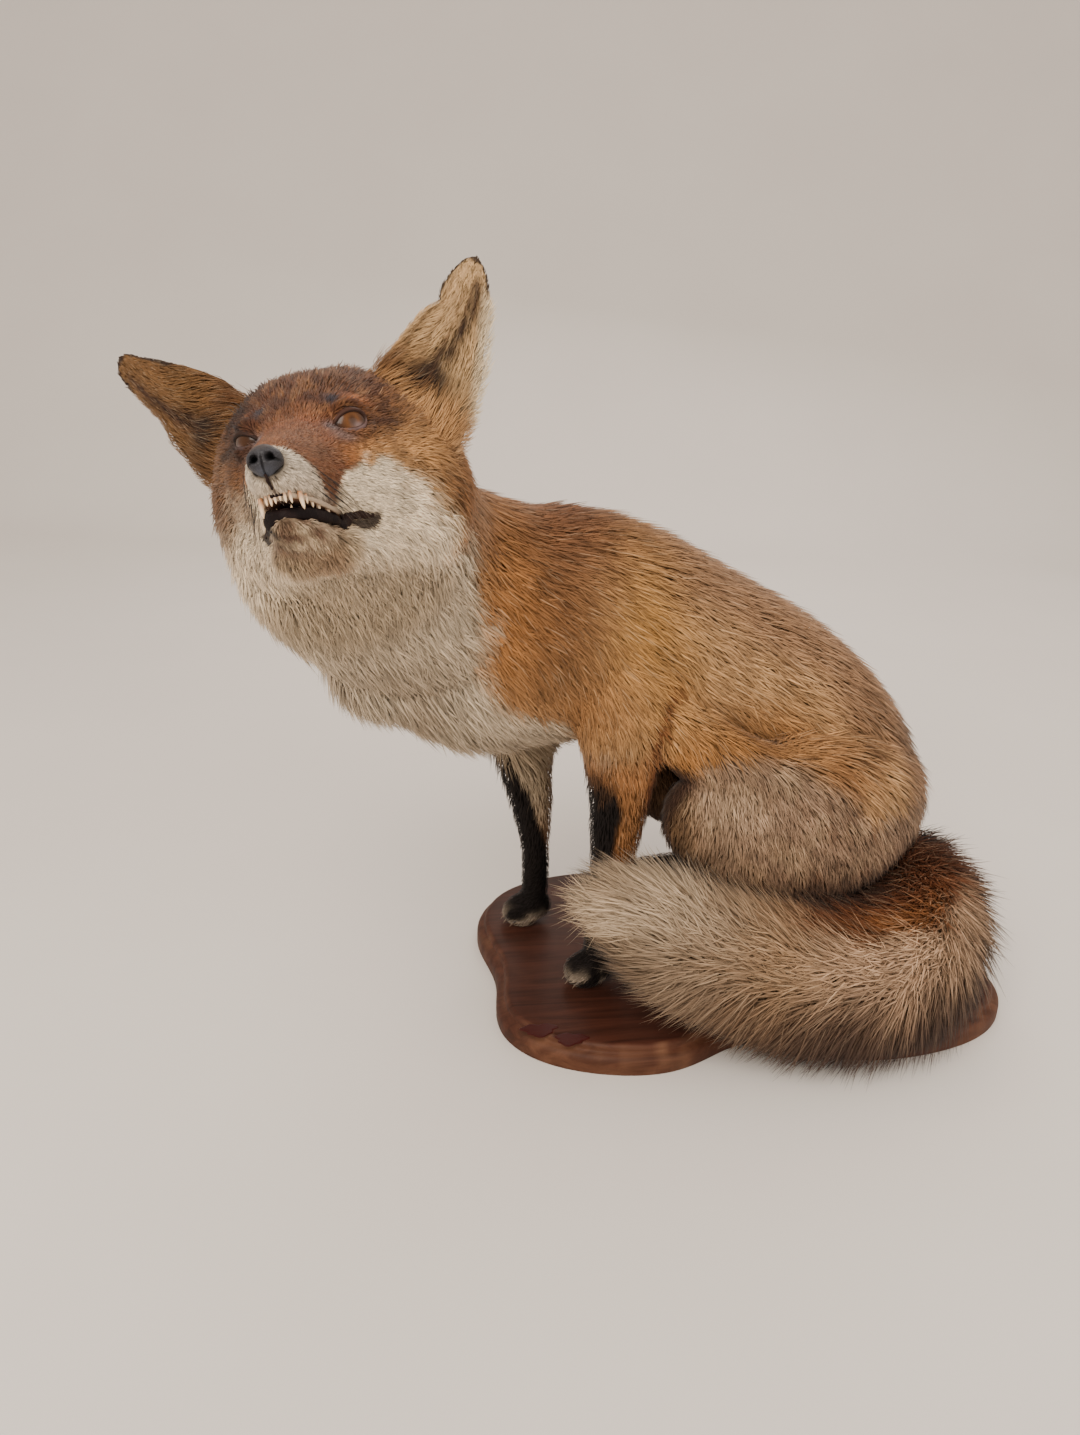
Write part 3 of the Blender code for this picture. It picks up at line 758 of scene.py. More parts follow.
def settled(points, edges, share, rounds):
    """Each point moved toward the mean of its neighbours by its share, several rounds."""
    count = len(points)
    ends = np.concatenate((edges[:, 0], edges[:, 1]))
    others = np.concatenate((edges[:, 1], edges[:, 0]))
    neighbours = np.maximum(np.bincount(ends, minlength=count), 1)[:, None]
    share = np.asarray(share)[:, None]
    for _ in range(rounds):
        total = np.stack([np.bincount(ends, points[others, k], count) for k in range(3)], axis=1)
        points = points + (total / neighbours - points) * share
    return points


def put_points(mesh, points):
    mesh.vertices.foreach_set("co", np.asarray(points, np.float32).ravel())
    mesh.update()


def refine_head(skin):
    """Quarters the faces of the head, where the folds and lids need the finest mesh."""
    shape = bmesh.new()
    shape.from_mesh(skin.data)
    shape.verts.ensure_lookup_table()
    inside = into(HEAD, points_of(skin.data))
    near = (inside[:, 0] > -3) & (np.abs(inside[:, 1]) < 7) & (inside[:, 2] > -8.5)
    edges = [edge for edge in shape.edges if near[edge.verts[0].index] and near[edge.verts[1].index]]
    bmesh.ops.subdivide_edges(shape, edges=edges, cuts=1, use_grid_fill=True)
    shape.to_mesh(skin.data)
    shape.free()


def eye_frame(side):
    """Where an eye is and how it looks: middle, its way out, toward its inner corner, and up."""
    sign = SIDES[side]
    flip = np.array((1, sign, 1))
    out = unit(np.array(EYE_LOOKS) * flip)
    inner = unit(np.cross((0, 0, 1), out)) * -sign
    inner = unit(inner * 0.985 - (0, 0, 0.17))
    inner = unit(inner - out * dot(inner, out))
    up = np.cross(out, inner) * sign
    up = up if up[2] > 0 else -up
    return np.array(EYE_MIDDLE) * flip, out, inner, up


def lid_measure(points, side, socket=False):
    """How far out from an eye's opening, or from its socket, points lie: 1 on the almond's line."""
    middle, out, inner, up = eye_frame(side)
    away = points - middle
    ahead = dot(away, out)
    along = dot(away, inner) / LID_HALF_LENGTH
    rise = dot(away, up)
    above, below = (SOCKET_RISE, SOCKET_DROP) if socket else (LID_RISE[side], LID_DROP[side])
    height = np.where(rise > 0, above, below)
    size = np.sqrt(along**2 + (rise / height) ** 2)
    return np.where(ahead > 0.2, size, 9)


def shape_face(points, normals):
    """Raises the folds of the face, and sinks the skin behind the eyes and round the lids."""
    inside = into(HEAD, points)
    for middle, radii, rise in FACE_FOLDS:
        for sign in ((1, -1) if middle[1] else (1,)):
            spot = (middle[0], middle[1] * sign, middle[2])
            points = points + normals * (bump(inside, spot, radii) * rise * CM)[:, None]
    inside = into(HEAD, points)
    for side in SIDES:
        middle = eye_frame(side)[0]
        away = inside - middle
        size = lid_measure(inside, side)
        radius = np.linalg.norm(away, axis=1)
        behind = np.minimum(radius, EYE_RADIUS - 0.2)
        rim = EYE_RADIUS + 0.12
        wanted = behind + (rim - behind) * step(0.95, 1.22, size)
        share = 1 - step(1.3, 2.1, lid_measure(inside, side, socket=True))
        radius_now = radius + (wanted - radius) * share
        inside = middle + unit(away) * radius_now[:, None]
    return out_of(HEAD, inside)


def make_skin():
    """The rough flesh smoothed, refined and folded into the finished skin."""
    skin = flesh()
    points = points_of(skin.data)
    face = into(HEAD, points)[:, 0]
    height = into(FOX, points)[:, 2]
    share = np.minimum(step(3, -4, face), np.maximum(0.35, step(3, 9, height)))
    points = settled(points, edges_of(skin.data), 0.12 + 0.48 * share, 16)
    put_points(skin.data, points)
    refine_head(skin)
    points = points_of(skin.data)
    face = into(HEAD, points)[:, 0]
    points = settled(points, edges_of(skin.data), 0.45 * step(-5, -2, face), 3)
    put_points(skin.data, points)
    points = shape_face(points, normals_of(skin.data))
    put_points(skin.data, points)
    skin.data.shade_smooth()
    return skin


# ---------------------------------------------------------------- markings

# In these functions step(a, b, x) is a border that fades from a to b in the frame's centimetres,
# a bell is a patch about its middle, and the factor on a layer is how strong its pigment is

RUST = colour(113, 74, 43)
RED_BROWN = colour(104, 64, 40)
OCHRE = colour(170, 124, 68)
TAN = colour(170, 132, 91)
HAUNCH = colour(136, 110, 88)
CREAM = colour(218, 200, 172)
WHITE = colour(214, 198, 176)
DINGY_AND_SHADE = colour(172, 154, 132)
BROWN = colour(76, 50, 36)
DARK = colour(52, 28, 20)
BLACK = colour(25, 19, 17)
BUFF = colour(131, 104, 79)
BRIDGE = colour(120, 76, 48)

# The line between white throat and red side, in the fox's frame: height, x on its left and right
THROAT_LINE = (
    (15, 3, 3),
    (19.8, 0.2, 0),
    (22.6, -2.4, -3),
    (24.9, -7, -6.5),
    (27.2, -8.9, -8.5),
    (29.4, -8.4, -9.5),
    (32, -9.2, -11),
    (34, -10.3, -12),
    (36.6, -11.8, -13.5),
    (39, -13.4, -15),
    (46, -14.6, -18),
)
# The trunk's topline in the fox's frame: x, height
TOPLINE = (
    (-14, 40), (-8, 37.5), (-1.5, 36), (4, 34.5), (10, 31.4),
    (16, 28), (21.5, 23), (26, 17), (30, 9),
)


# Patches on shoulder and flank, seen from the side: x, height, half length, half height, share
FLANK_PATCHES = (
    (-4.5, 30, 6, 7, 0.9, RUST),
    (-1, 35.5, 6, 2.6, 0.8, RED_BROWN),
    (-7.6, 31, 2.2, 6.5, 0.8, colour(168, 113, 62)),
    (2.3, 29, 2.6, 4.4, 0.95, OCHRE),
    (4.5, 24, 2.2, 4, 0.7, OCHRE),
    (-1, 23.5, 3.6, 3, 0.6, colour(158, 108, 62)),
)
# Painted shade along the crease behind the elbow, and the black fronts of the forelegs: x at each height
ELBOW_CREASE_SHADE = ((17, 19.5, 21.6, 24.5), (3.2, 3.6, 4.1, 5.1))
FRONT_HEIGHTS = (3.2, 6.5, 9.2, 11.7, 15, 17)
FRONT_EDGES = (
    (FORELEG_LEFT, (2.5, 0.6, -0.4, -0.4, -0.6, -0.9)),
    (FORELEG_RIGHT, (2.5, 0.9, 0.35, -0.1, -1.1, -2.1)),
)
# Pale patches round the eyes: middle, radii, share
EYE_PATCHES = (
    ((-0.1, 2.75, 1.05), (0.75, 0.8, 0.3), 0.8, colour(168, 96, 46)),
    ((1.4, 0.9, 1.5), (1.4, 0.9, 1), 0.3, colour(74, 42, 28)),
    ((1.4, 2.9, -1.75), (2.1, 1.8, 0.75), 0.95, colour(176, 114, 64)),
    ((-2, 4.6, -1.3), (2.4, 2, 1), 0.9, colour(180, 132, 82)),
)
# Where the cheek's white begins, where the lips meet and how far their black reaches: x, z
CHEEK_LINE = ((-8, -4.5, -2.6, 0.1, 1.5, 2.6, 3.2), (-5.4, -4.1, -2.9, -2.3, -2.35, -2.6, -3))
LIP_LINE = ((-0.2, 0.5, 1.5, 2.7, 4.5, 6.5), (-4.5, -4.6, -4.75, -4.6, -4.5, -4.3))
LIP_REACH = ((0, 0.6, 1.3, 2.4, 4), (0.26, 0.32, 0.26, 0.2, 0.2))


class Paint:
    """Pigment on points, laid in layers over a ground colour."""

    def __init__(self, ground, count):
        self.tint = np.tile(ground, (count, 1))

    def lay(self, share, *tint):
        """Moves each point's tint toward another by its share: linear light, or 0 to 255."""
        target = colour(*tint) if len(tint) == 3 else tint[0]
        self.tint = self.tint + (target - self.tint) * share[:, None]

    def varied(self, factor):
        """The tints made lighter or darker by a factor, kept within what a pigment can be."""
        return np.clip(self.tint * factor[:, None], 0.004, 0.95)


def from_side(spots, x, z, wide, high):
    """A bell as seen from the side, the same at every y."""
    return bump(spots[:, ::2], (x, z), (wide, high))


def nearest_row(spots, rows):
    """The nearest point of a middle line to each spot, by its number."""
    away = spots[:, None] - rows[None]
    return dot(away, away).argmin(axis=1)


def tail_share(spots):
    """How far along the tail spots lie, 0 to 1, how far under its middle line, and the way out."""
    rows = between(TAIL, 8)[:, :3]
    nearest = nearest_row(spots, rows)
    radial = unit(spots - rows[nearest])
    return nearest / (len(rows) - 1), -radial[:, 2], radial


def nape_share(spots):
    """1 on the upper right of the neck, where the side's red closes over the white throat."""
    rows = between(NECK, 6)[:, :3]
    nearest = nearest_row(spots, rows)
    aheads = unit(np.gradient(rows, axis=0) * (1, 1, 0))
    right = np.column_stack((aheads[:, 1], -aheads[:, 0], aheads[:, 2]))[nearest]
    off = spots - rows[nearest]
    return step(-0.4, 2.6, off[:, 2]) * step(-1, 2, dot(off, right)) * step(-7.5, -9.5, spots[:, 0])


def mark_haunch(paint, spots, wobble, fine, mottle):
    """The thigh: grey brown and grizzled under a ruddy border, with painted shade in the hollow before it."""
    x, y, z = spots.T
    aside = np.abs(y)
    fold = 1.5 * step(9.4, 7.8, aside) * step(16, 11, x)
    fold += 0.62 * np.clip(x - 12.8, 0, 7) - 0.15 * np.maximum(12 - x, 0)
    haunch = step(20, 18.6, z + fold + wobble * 0.7) * step(5, 7.5, x) * step(5, 7.5, aside)
    ruddy = from_side(spots, 17, 18, 3.8, 2) * step(5, 7, aside)
    paint.lay(ruddy * 0.75, 146, 98, 57)
    paint.lay(haunch, HAUNCH)
    paint.lay(haunch * held(mottle * 1.4) * 0.5, 176, 148, 116)
    paint.lay(haunch * held(fine * 1.8) * 0.5, 88, 62, 44)
    # painted shade: the front of the thigh darkened where it meets flank and belly
    hollow = np.maximum(step(9, 7.6, aside) * step(9, 7.2, x), step(7, 5.7, x)) * step(19.2, 18, z)
    paint.lay(held(haunch + 0.5) * hollow * step(4, 5, x) * 0.94, 54, 37, 28)
    paint.lay(haunch * step(12.5, 8.5, z + wobble) * 0.6, 112, 76, 54)
    paint.lay(haunch * from_side(spots, 9.2, 16.4, 2.4, 2.2) * 0.35, 178, 152, 124)
    slits = bell(cloudy(spots * (1, 1, 0.3), 1.3, 53), 0.16) * step(15.5, 18, x) * step(12, 15, z)
    paint.lay(slits * 0.6 * step(24, 21, z), 80, 52, 35)
    shade = step(4.2, 5.4, x) * step(19.6, 18.4, z) * step(8.6, 7.4, aside) * step(24, 10, x)
    paint.lay(shade * 0.88, 72, 51, 40)


def mark_throat(paint, spots, wobble, fine, mottle):
    """White from chin to chest, greyed low down by dingy fur and painted shade, within the throat line and
    closed over by the nape's red.
    """
    x, y, z = spots.T
    heights, left, right = np.array(THROAT_LINE).T
    side = step(-5, 5, y)
    line = np.interp(z, heights, left) * (1 - side) + np.interp(z, heights, right) * side
    white = step(1.1, -1.1, x - line + wobble * 1.3 + fine * 0.8) * step(14, 18.5, z)
    nape = held(nape_share(spots + (0, 0, 1) * wobble[:, None] * 0.8))
    paint.lay(nape * 0.7, 140, 92, 50)
    chest = Paint(CREAM, len(spots))
    # low on the chest: dingy fur and painted shade
    chest.lay(step(34, 25, z) * 0.6, DINGY_AND_SHADE)
    chest.lay(held(cloudy(spots, 3, 61) + 0.1) * 0.6, 152, 132, 110)
    chest.lay(step(21.5, 18, z) * held(mottle + 0.5) * 0.5, 128, 110, 92)
    paint.lay(white * (1 - nape), chest.tint)


def mark_foreleg(paint, leg, front_edge, spots, wobble, fine):
    """A foreleg: tan, black down its front and foot, pale inside on the right, toes grizzled."""
    x, y, z = spots.T
    rows = np.array(leg)[::-1]
    leg_x, leg_y = (np.interp(z, rows[:, 2], rows[:, k]) for k in (0, 1))
    ahead, right = x - leg_x, leg_y > 0
    near = step(5.2, 3.6, -ahead) * step(2.9, 2.2, ahead)
    near *= step(4.2, 2.8, np.abs(y - leg_y)) * step(21, 18.6, z)
    limb = Paint(colour(150, 103, 63), len(spots))
    pale = step(0.6, -0.8, (y - leg_y) * np.sign(leg_y)) * step(6.5, 11, z) * step(1.9, 0.6, ahead) * right
    limb.lay(pale, 176, 156, 130)
    limb.lay(step(14.5, 9, z) * (1 - 0.6 * pale) * 0.6, 126, 72, 38)
    limb.lay(bell(ahead - 1.7, 0.5) * step(7, 10, z) * ~right * 0.7, 96, 46, 22)
    front = step(0.3, -0.3, ahead - np.interp(z, FRONT_HEIGHTS, front_edge) + wobble * 0.3)
    front = np.maximum(front * step(19.6, 16.4, z + wobble + fine), step(4.4, 2.8, z + wobble * 0.5))
    limb.lay(front, BLACK)
    paint.lay(near, limb.tint)
    paint.lay(step(2.2, 0.9, z) * near * held(fine * 1.6 + 0.35) * 0.85, 176, 158, 138)


def body_colours(spots, wobble, fine):
    """Markings of trunk, neck and legs, in the fox's frame."""
    x, y, z = spots.T
    aside = np.abs(y)
    mottle = cloudy(spots, 1.1, 47)
    paint = Paint(TAN, len(spots))
    depth = np.interp(x, *zip(*TOPLINE)) - z
    paint.lay(1 - step(1.5, 6.5, depth + wobble * 1.2), 148, 112, 81)
    for *patch, share, tint in FLANK_PATCHES:
        paint.lay(from_side(spots, *patch) * share, tint)
    # painted shade along the crease behind the elbow
    crease = bell(x - np.interp(z, *ELBOW_CREASE_SHADE), 0.55) * step(26.5, 24, z) * step(15, 17.5, z)
    paint.lay(crease * step(4.4, 5.8, aside) * 0.9, 92, 48, 24)
    band = step(4, 6, x) * step(19, 12, x) * bell(z - 20.2, 2.8)
    paint.lay(band * step(5, 6.6, aside) * 0.9, 150, 102, 55)
    mark_haunch(paint, spots, wobble, fine, mottle)
    rear = step(11, 6.5, z + wobble) * step(6, 9, x) + step(24, 28, x) * step(15, 10, z)
    paint.lay(held(rear) * 0.8, BROWN)
    belly = step(21, 18, z) * step(7, 5, aside) * step(-2, 3, x)
    paint.lay(belly * 0.85, 112, 86, 64)
    mark_throat(paint, spots, wobble, fine, mottle)
    for leg, front_edge in FRONT_EDGES:
        mark_foreleg(paint, leg, front_edge, spots, wobble, fine)
    foot = step(4.6, 3.4, z + wobble * 0.5) * step(5.5, 6.6, aside) * step(24, 22, x) * step(6, 6.5, x)
    paint.lay(foot, 44, 30, 24)
    return paint


def mark_brow(paint, spots, mottle, coarse):
    """Crown, temples, brow and bridge: browns and golds, with strands combed back over them."""
    x, y, z = spots.T
    aside = np.abs(y)
    folded = np.column_stack((x, aside, z))
    paint.lay(step(-2, -5, x) * step(-1, 1.5, z) * 0.8, 88, 55, 32)
    paint.lay(held(mottle * 1.3) * step(2.5, 1, x) * step(-0.5, 0.8, z) * 0.6, 66, 38, 24)
    paint.lay(held(coarse) * step(2, 0.5, x) * step(0.2, 1.2, z) * 0.5, 140, 98, 62)
    paint.lay(from_side(spots, -3.6, -0.6, 2.8, 2.4) * step(3.4, 5, aside) * 0.9, 172, 126, 78)
    paint.lay(from_side(spots, -5.5, 2.4, 2.4, 2.4) * step(3, 4.5, aside) * 0.7, 128, 84, 46)
    paint.lay(step(-4.5, -7, x) * step(3, 4.5, aside) * 0.8, 140, 96, 58)
    for middle, radii, share, tint in EYE_PATCHES:
        paint.lay(bump(folded, middle, radii) * share, tint)
    # painted shade round the far eye: a dark patch on the right side only
    paint.lay(bump(spots, (1.4, -2.3, 0.3), (2, 1.5, 1.4)) * 0.85, 56, 33, 25)
    strands = cloudy(spots * (0.4, 1, 0.6), 0.3, 83) * step(3, 1.6, x) * step(-0.9, 0.2, z)
    paint.lay(held(strands) * 0.6, 144, 100, 62)
    paint.lay(held(-strands) * 0.6, 54, 30, 20)
    bridge = step(1, 2.7, x + 0.3 * z) * step(2.4, 1.4, aside * 0.7 - z * 0.15)
    paint.lay(bridge * 0.9, BRIDGE)
    paint.lay(bridge * step(4.5, 2.5, x) * held(0.5 + mottle) * 0.5, 112, 62, 42)
    paint.lay(bump(folded, (4.2, 1.5, -1.9), (2.2, 0.6, 0.6)) * 0.5, 116, 84, 64)
    under_eye = bump(folded, (1.95, 2.3, -0.95), (1, 0.7, 0.28))
    paint.lay(held(under_eye * 1.3) * 0.75, 112, 90, 84)


def mark_cheek(paint, spots, wobble, fine):
    """The white whisker pad, and the white cheek under its golden border."""
    x, y, z = spots.T
    pad_top = -2.1 - 0.43 * (7.4 - x)
    pad = step(0.22, -0.18, z - pad_top + wobble * 0.12 + fine * 0.1)
    paint.lay(pad * step(2.9, 3.5, x + 0.35 * (z + 3.5) + wobble * 0.15), WHITE * 0.97)
    over = z - (np.interp(x, *CHEEK_LINE) + 1.8 * step(-2.5, -5.5, x) * (y < 0))
    golden = step(1.5, -0.2, over + wobble * 0.5) * step(2.2, 0.6, x) * step(-9.5, -6.5, x)
    paint.lay(golden * 0.7, 186, 144, 96)
    spread = 0.35 + 0.5 * step(1, -2, x)
    strays = cloudy(spots * (0.3, 1, 1), 0.3, 85) * (0.35 + 0.5 * step(1.5, -1.5, x))
    cheek = step(spread, -spread, over + wobble * 0.45 + fine * 0.35 + strays)
    cheek *= step(3.3, 2.75, x + fine * 0.15)
    cheek *= step(-9.5, -6.5, x) + np.where(y < 0, 1, step(-4.5, -5.5, z)) * step(-6.5, -9.5, x)
    paint.lay(held(cheek), CREAM * 1.2)


def mark_muzzle(paint, spots, mottle, coarse):
    """Dark marks of pad and eye corners, the stained chin, black lips and nose, and the throat."""
    x, y, z = spots.T
    aside = np.abs(y)
    folded = np.column_stack((x, aside, z))
    band = bell(x + 0.45 * (z + 3.2) - 3.45, 0.3)
    paint.lay(band * step(-1.8, -2.5, z) * step(-5, -4.2, z) * 0.75, 112, 72, 50)
    paint.lay(held(bump(folded, (2, 1.85, -0.35), (0.5, 0.4, 0.28)) * 1.3) * 0.8, 120, 112, 116)
    paint.lay(held(bump(folded, (0.72, 1.7, 1.1), (0.4, 0.34, 0.3)) * 1.8) * 0.9, 44, 42, 50)
    eye_tail = bell(x + 0.3 * (aside - 3.6) + 0.8, 1.1) * bell(z + 0.1, 0.24) * step(2.9, 3.3, aside)
    paint.lay(eye_tail * 0.9, 60, 36, 25)
    chin = step(1, 2.5, x) * step(-4.62, -4.85, z)
    paint.lay(chin * 0.85, 184, 160, 128)
    paint.lay(chin * held(mottle * 1.5) * 0.6, 136, 104, 76)
    stain = bump(spots, (5.6, 0.3, -5.25), (2, 1.7, 0.75)) * held(0.5 + 1.4 * mottle + 0.8 * coarse)
    paint.lay(held(stain * 1.5) * 0.85, 84, 54, 39)
    paint.lay(held(bump(spots, (6.4, -0.95, -5), (0.55, 0.5, 0.5)) * 1.8) * 0.95, 24, 17, 16)
    edge = bell(z - np.interp(x, *LIP_LINE) + 0.06, np.interp(x, *LIP_REACH))
    edge *= step(-0.1, 0.35, x) * step(7.5, 6, x) * step(0.8, 1.2, aside)
    paint.lay(held(edge * 2.2 + 0.9 * edge * coarse) * 0.95, 32, 19, 16)
    paint.lay(step(1.12, 0.96, nose_measure(spots)), 14, 12, 12)
    paint.lay(bell(y, 0.09) * step(6.9, 7.4, x) * step(-2.9, -3.3, z) * 0.8, 60, 42, 36)
    paint.lay(step(-5.6, -6.6, z) * step(2, 0.5, x), 184, 164, 136)


def head_colours(spots, wobble, fine):
    """Markings of the head, in its own frame, with painted shade darkening its far side."""
    x, y, z = spots.T
    mottle, coarse = cloudy(spots, 0.9, 77), cloudy(spots, 0.35, 79)
    paint = Paint(colour(82, 48, 27), len(spots))
    mark_brow(paint, spots, mottle, coarse)
    mark_cheek(paint, spots, wobble, fine)
    mark_muzzle(paint, spots, mottle, coarse)
    # painted shade on the far side of the face, over cheek and temple
    far = step(-1.4, -2.8, y) * step(-4.3, -3.1, z + 0.3 * wobble) * step(2.2, 1, x) * step(-7.5, -4.5, x)
    return paint.tint * (1 - far[:, None] * (0.58, 0.64, 0.68))


def coat_colours(points):
    """The coat's colour at points of the model, from where they are on the animal."""
    spots, face = into(FOX, points), into(HEAD, points)
    wobble, fine = cloudy(points / CM, 2.2, 11), cloudy(points / CM, 0.7, 23)
    paint = body_colours(spots, wobble, fine)
    head = step(-12.5, -9, face[:, 0]) * step(11, 9.5, np.linalg.norm(face[:, 1:], axis=1))
    paint.lay(head, head_colours(face, wobble, fine))
    return paint.varied(1 + 0.1 * wobble + 0.07 * fine)


TAIL_CURL_MIDDLE = (14, -3, 0)


def tail_colours(points):
    """The brush: dark rusty root, buff middle with dark underside, whitish tip."""
    spots = into(FOX, points)
    share, under, radial = tail_share(spots)
    wobble = cloudy(points / CM, 2.5, 31)
    streaks = held(cloudy(points / CM * (1, 1, 1.6), 1.2, 33))
    outward = dot(unit((spots - TAIL_CURL_MIDDLE) * (1, 1, 0)), radial)
    outer = step(0.36, 0.66, outward + wobble * 0.15) * step(0.2, 0.32, share)
    wavy = share + wobble * 0.05
    paint = Paint(BUFF, len(points))
    paint.lay(streaks * 0.6, 112, 82, 56)
    paint.lay(step(0.5, 0.3, wavy) * step(-0.3, 0.4, under) * 0.7, 164, 132, 102)
    paint.lay(step(0.68, 0.52, wavy) * step(0.45, -0.15, under) * (1 - outer), 104, 60, 36)
    paint.lay(bell(share - 0.4, 0.09) * bell(outward - 0.28, 0.22) * 0.75, 148, 96, 54)
    paint.lay(outer * step(0.66, 0.5, share) * 0.85, 184, 150, 120)
    # darker on the side toward the body: painted shade where the brush lies against the haunch
    inner = step(-0.15, 0.5, radial[:, 1]) * step(0.78, 0.6, share + wobble * 0.06)
    paint.lay(inner * 0.9, 56, 34, 24)
    paint.lay(step(0.26, 0.12, wavy) * 0.9, DARK)
    paint.lay(bell(share - 0.64, 0.07) * step(0.3, -0.3, under) * 0.5, 172, 138, 104)
    dark = step(-0.42, 0.1, under + wobble * 0.2) * step(0.95, 0.8, share)
    paint.lay(dark * (0.5 + 0.5 * step(0.7, 0.5, share)) * 0.92, 52, 37, 33)
    pale = step(0.66, 0.98, share + wobble * 0.06 - 0.06 * under)
    paint.lay(pale * (0.95 - 0.35 * streaks), 174, 152, 126)
    return paint.varied(1 + 0.12 * wobble)


# ---------------------------------------------------------------- the lie of the coat

# Where, which way the hair lies, its length, lift in degrees, width in millimetres and locks per
# square centimetre. Body rows are in the fox's frame and head rows in the head's; both sides alike.
BODY_LIE = (
    (-9, 2.5, 38, 0.8, 0.5, -0.4, 2, 26, 1.2, 52),
    (-3, 0, 36, 1, 0, -0.2, 2.3, 22, 1.3, 44),
    (5, 0, 33.5, 1, 0, -0.4, 2.6, 22, 1.4, 40),
    (12, 0, 29.5, 1, 0, -0.55, 2.7, 22, 1.4, 38),
    (20, 0, 24.5, 0.8, 0, -0.75, 2.7, 22, 1.4, 38),
    (27, 0, 17, 0.45, 0, -1, 2.7, 24, 1.4, 38),
    (29.5, 0, 10, 0.1, 0, -1, 2.6, 26, 1.4, 38),
    (-3, 6.5, 30, 0.75, 0, -0.65, 2.2, 22, 1.3, 46),
    (3, 7.3, 28, 0.8, 0, -0.6, 2.4, 22, 1.3, 44),
    (9, 7.3, 24, 0.85, 0, -0.55, 2.5, 22, 1.4, 40),
    (15, 7.8, 21, 0.85, 0, -0.55, 2.5, 22, 1.4, 40),
    (22, 8, 17, 0.6, 0, -0.8, 2.5, 24, 1.4, 40),
    (3, 5, 20, 0.7, 0, -0.7, 2, 24, 1.3, 40),
    (10, 2, 17.5, 1, 0, -0.2, 2.2, 24, 1.4, 26),
    (5, 8, 17.5, -0.2, 0.7, -0.7, 1.2, 20, 1, 58),
    (6, 9.6, 16.5, -0.3, 0.35, -0.9, 1.2, 20, 0.95, 58),
    (5, 8.6, 13.5, -0.35, 0.2, -0.9, 1.1, 22, 0.95, 58),
    (8.5, 9.8, 17.6, 0, 0.3, -0.95, 1.3, 20, 0.95, 56),
    (9.5, 8.4, 20.2, 0.6, 0.2, -0.75, 1.9, 18, 1.1, 50),
    (6, 6.6, 21.6, 0.55, 0.1, -0.8, 2, 18, 1.1, 50),
    (6.5, 8, 19.4, 0.4, 0.45, -0.8, 1.3, 18, 1, 54),
    (8, 10.5, 14, -0.05, 0, -1, 1.3, 24, 0.95, 58),
    (12, 11.5, 15.5, 0.2, 0, -1, 1.4, 22, 1, 56),
    (15, 11.8, 13, 0.3, 0, -0.95, 1.4, 24, 1, 56),
    (21, 10, 12, 0.4, 0, -0.9, 1.8, 24, 1.2, 50),
    (12, 10.4, 9, 0.3, 0, -0.9, 1.2, 22, 1, 56),
    (-13, 0, 26, 0.35, 0, -1, 3.2, 30, 1.5, 40),
    (-10, 4, 21.5, 0.65, 0, -0.75, 3, 28, 1.5, 40),
    (-3, 4, 19.5, 0.8, 0, -0.6, 2.6, 28, 1.4, 40),
    (-2, 7, 26, 0.5, 0, -0.85, 2, 22, 1.2, 48),
    (1.5, 6, 20, 0.1, 0, -1, 1.3, 22, 1, 62),
    (2.4, 5, 15, 0, 0, -1, 0.95, 22, 0.85, 80),
    (1.8, 5, 8, -0.05, 0, -1, 0.7, 22, 0.7, 100),
    (0, 5, 3, -0.9, 0, -0.5, 0.5, 24, 0.6, 130),
    (-2.6, 5, 1.4, -0.9, 0, -0.5, 0.45, 28, 0.6, 130),
    (20, 8, 5, -0.2, 0, -1, 1, 24, 0.9, 60),
    (14, 8, 2.5, -1, 0, -0.2, 0.7, 24, 0.8, 70),
    (8, 7.8, 1.6, -1, 0, -0.3, 0.5, 24, 0.7, 90),
)
NECK_LIE = (
    (-16.5, -4, 29.5, 0.4, 0.35, -0.85, 3.2, 30, 1.5, 42),
    (-19, -8, 33, 0.45, 0.5, -0.75, 2.8, 30, 1.4, 44),
    (-11.5, -9, 36, 0.62, 0.35, -0.7, 2.3, 26, 1.3, 48),
    (-8.5, -6.5, 33, 0.68, 0.15, -0.7, 2.2, 24, 1.3, 48),
    (-17, 0, 38, 0.6, 0.6, -0.55, 2.3, 26, 1.3, 46),
    (-13, 3, 33, 0.6, 0.35, -0.75, 2.4, 26, 1.3, 46),
    (-13.5, -7, 41.5, 0.65, 0.65, -0.35, 2, 24, 1.2, 50),
)
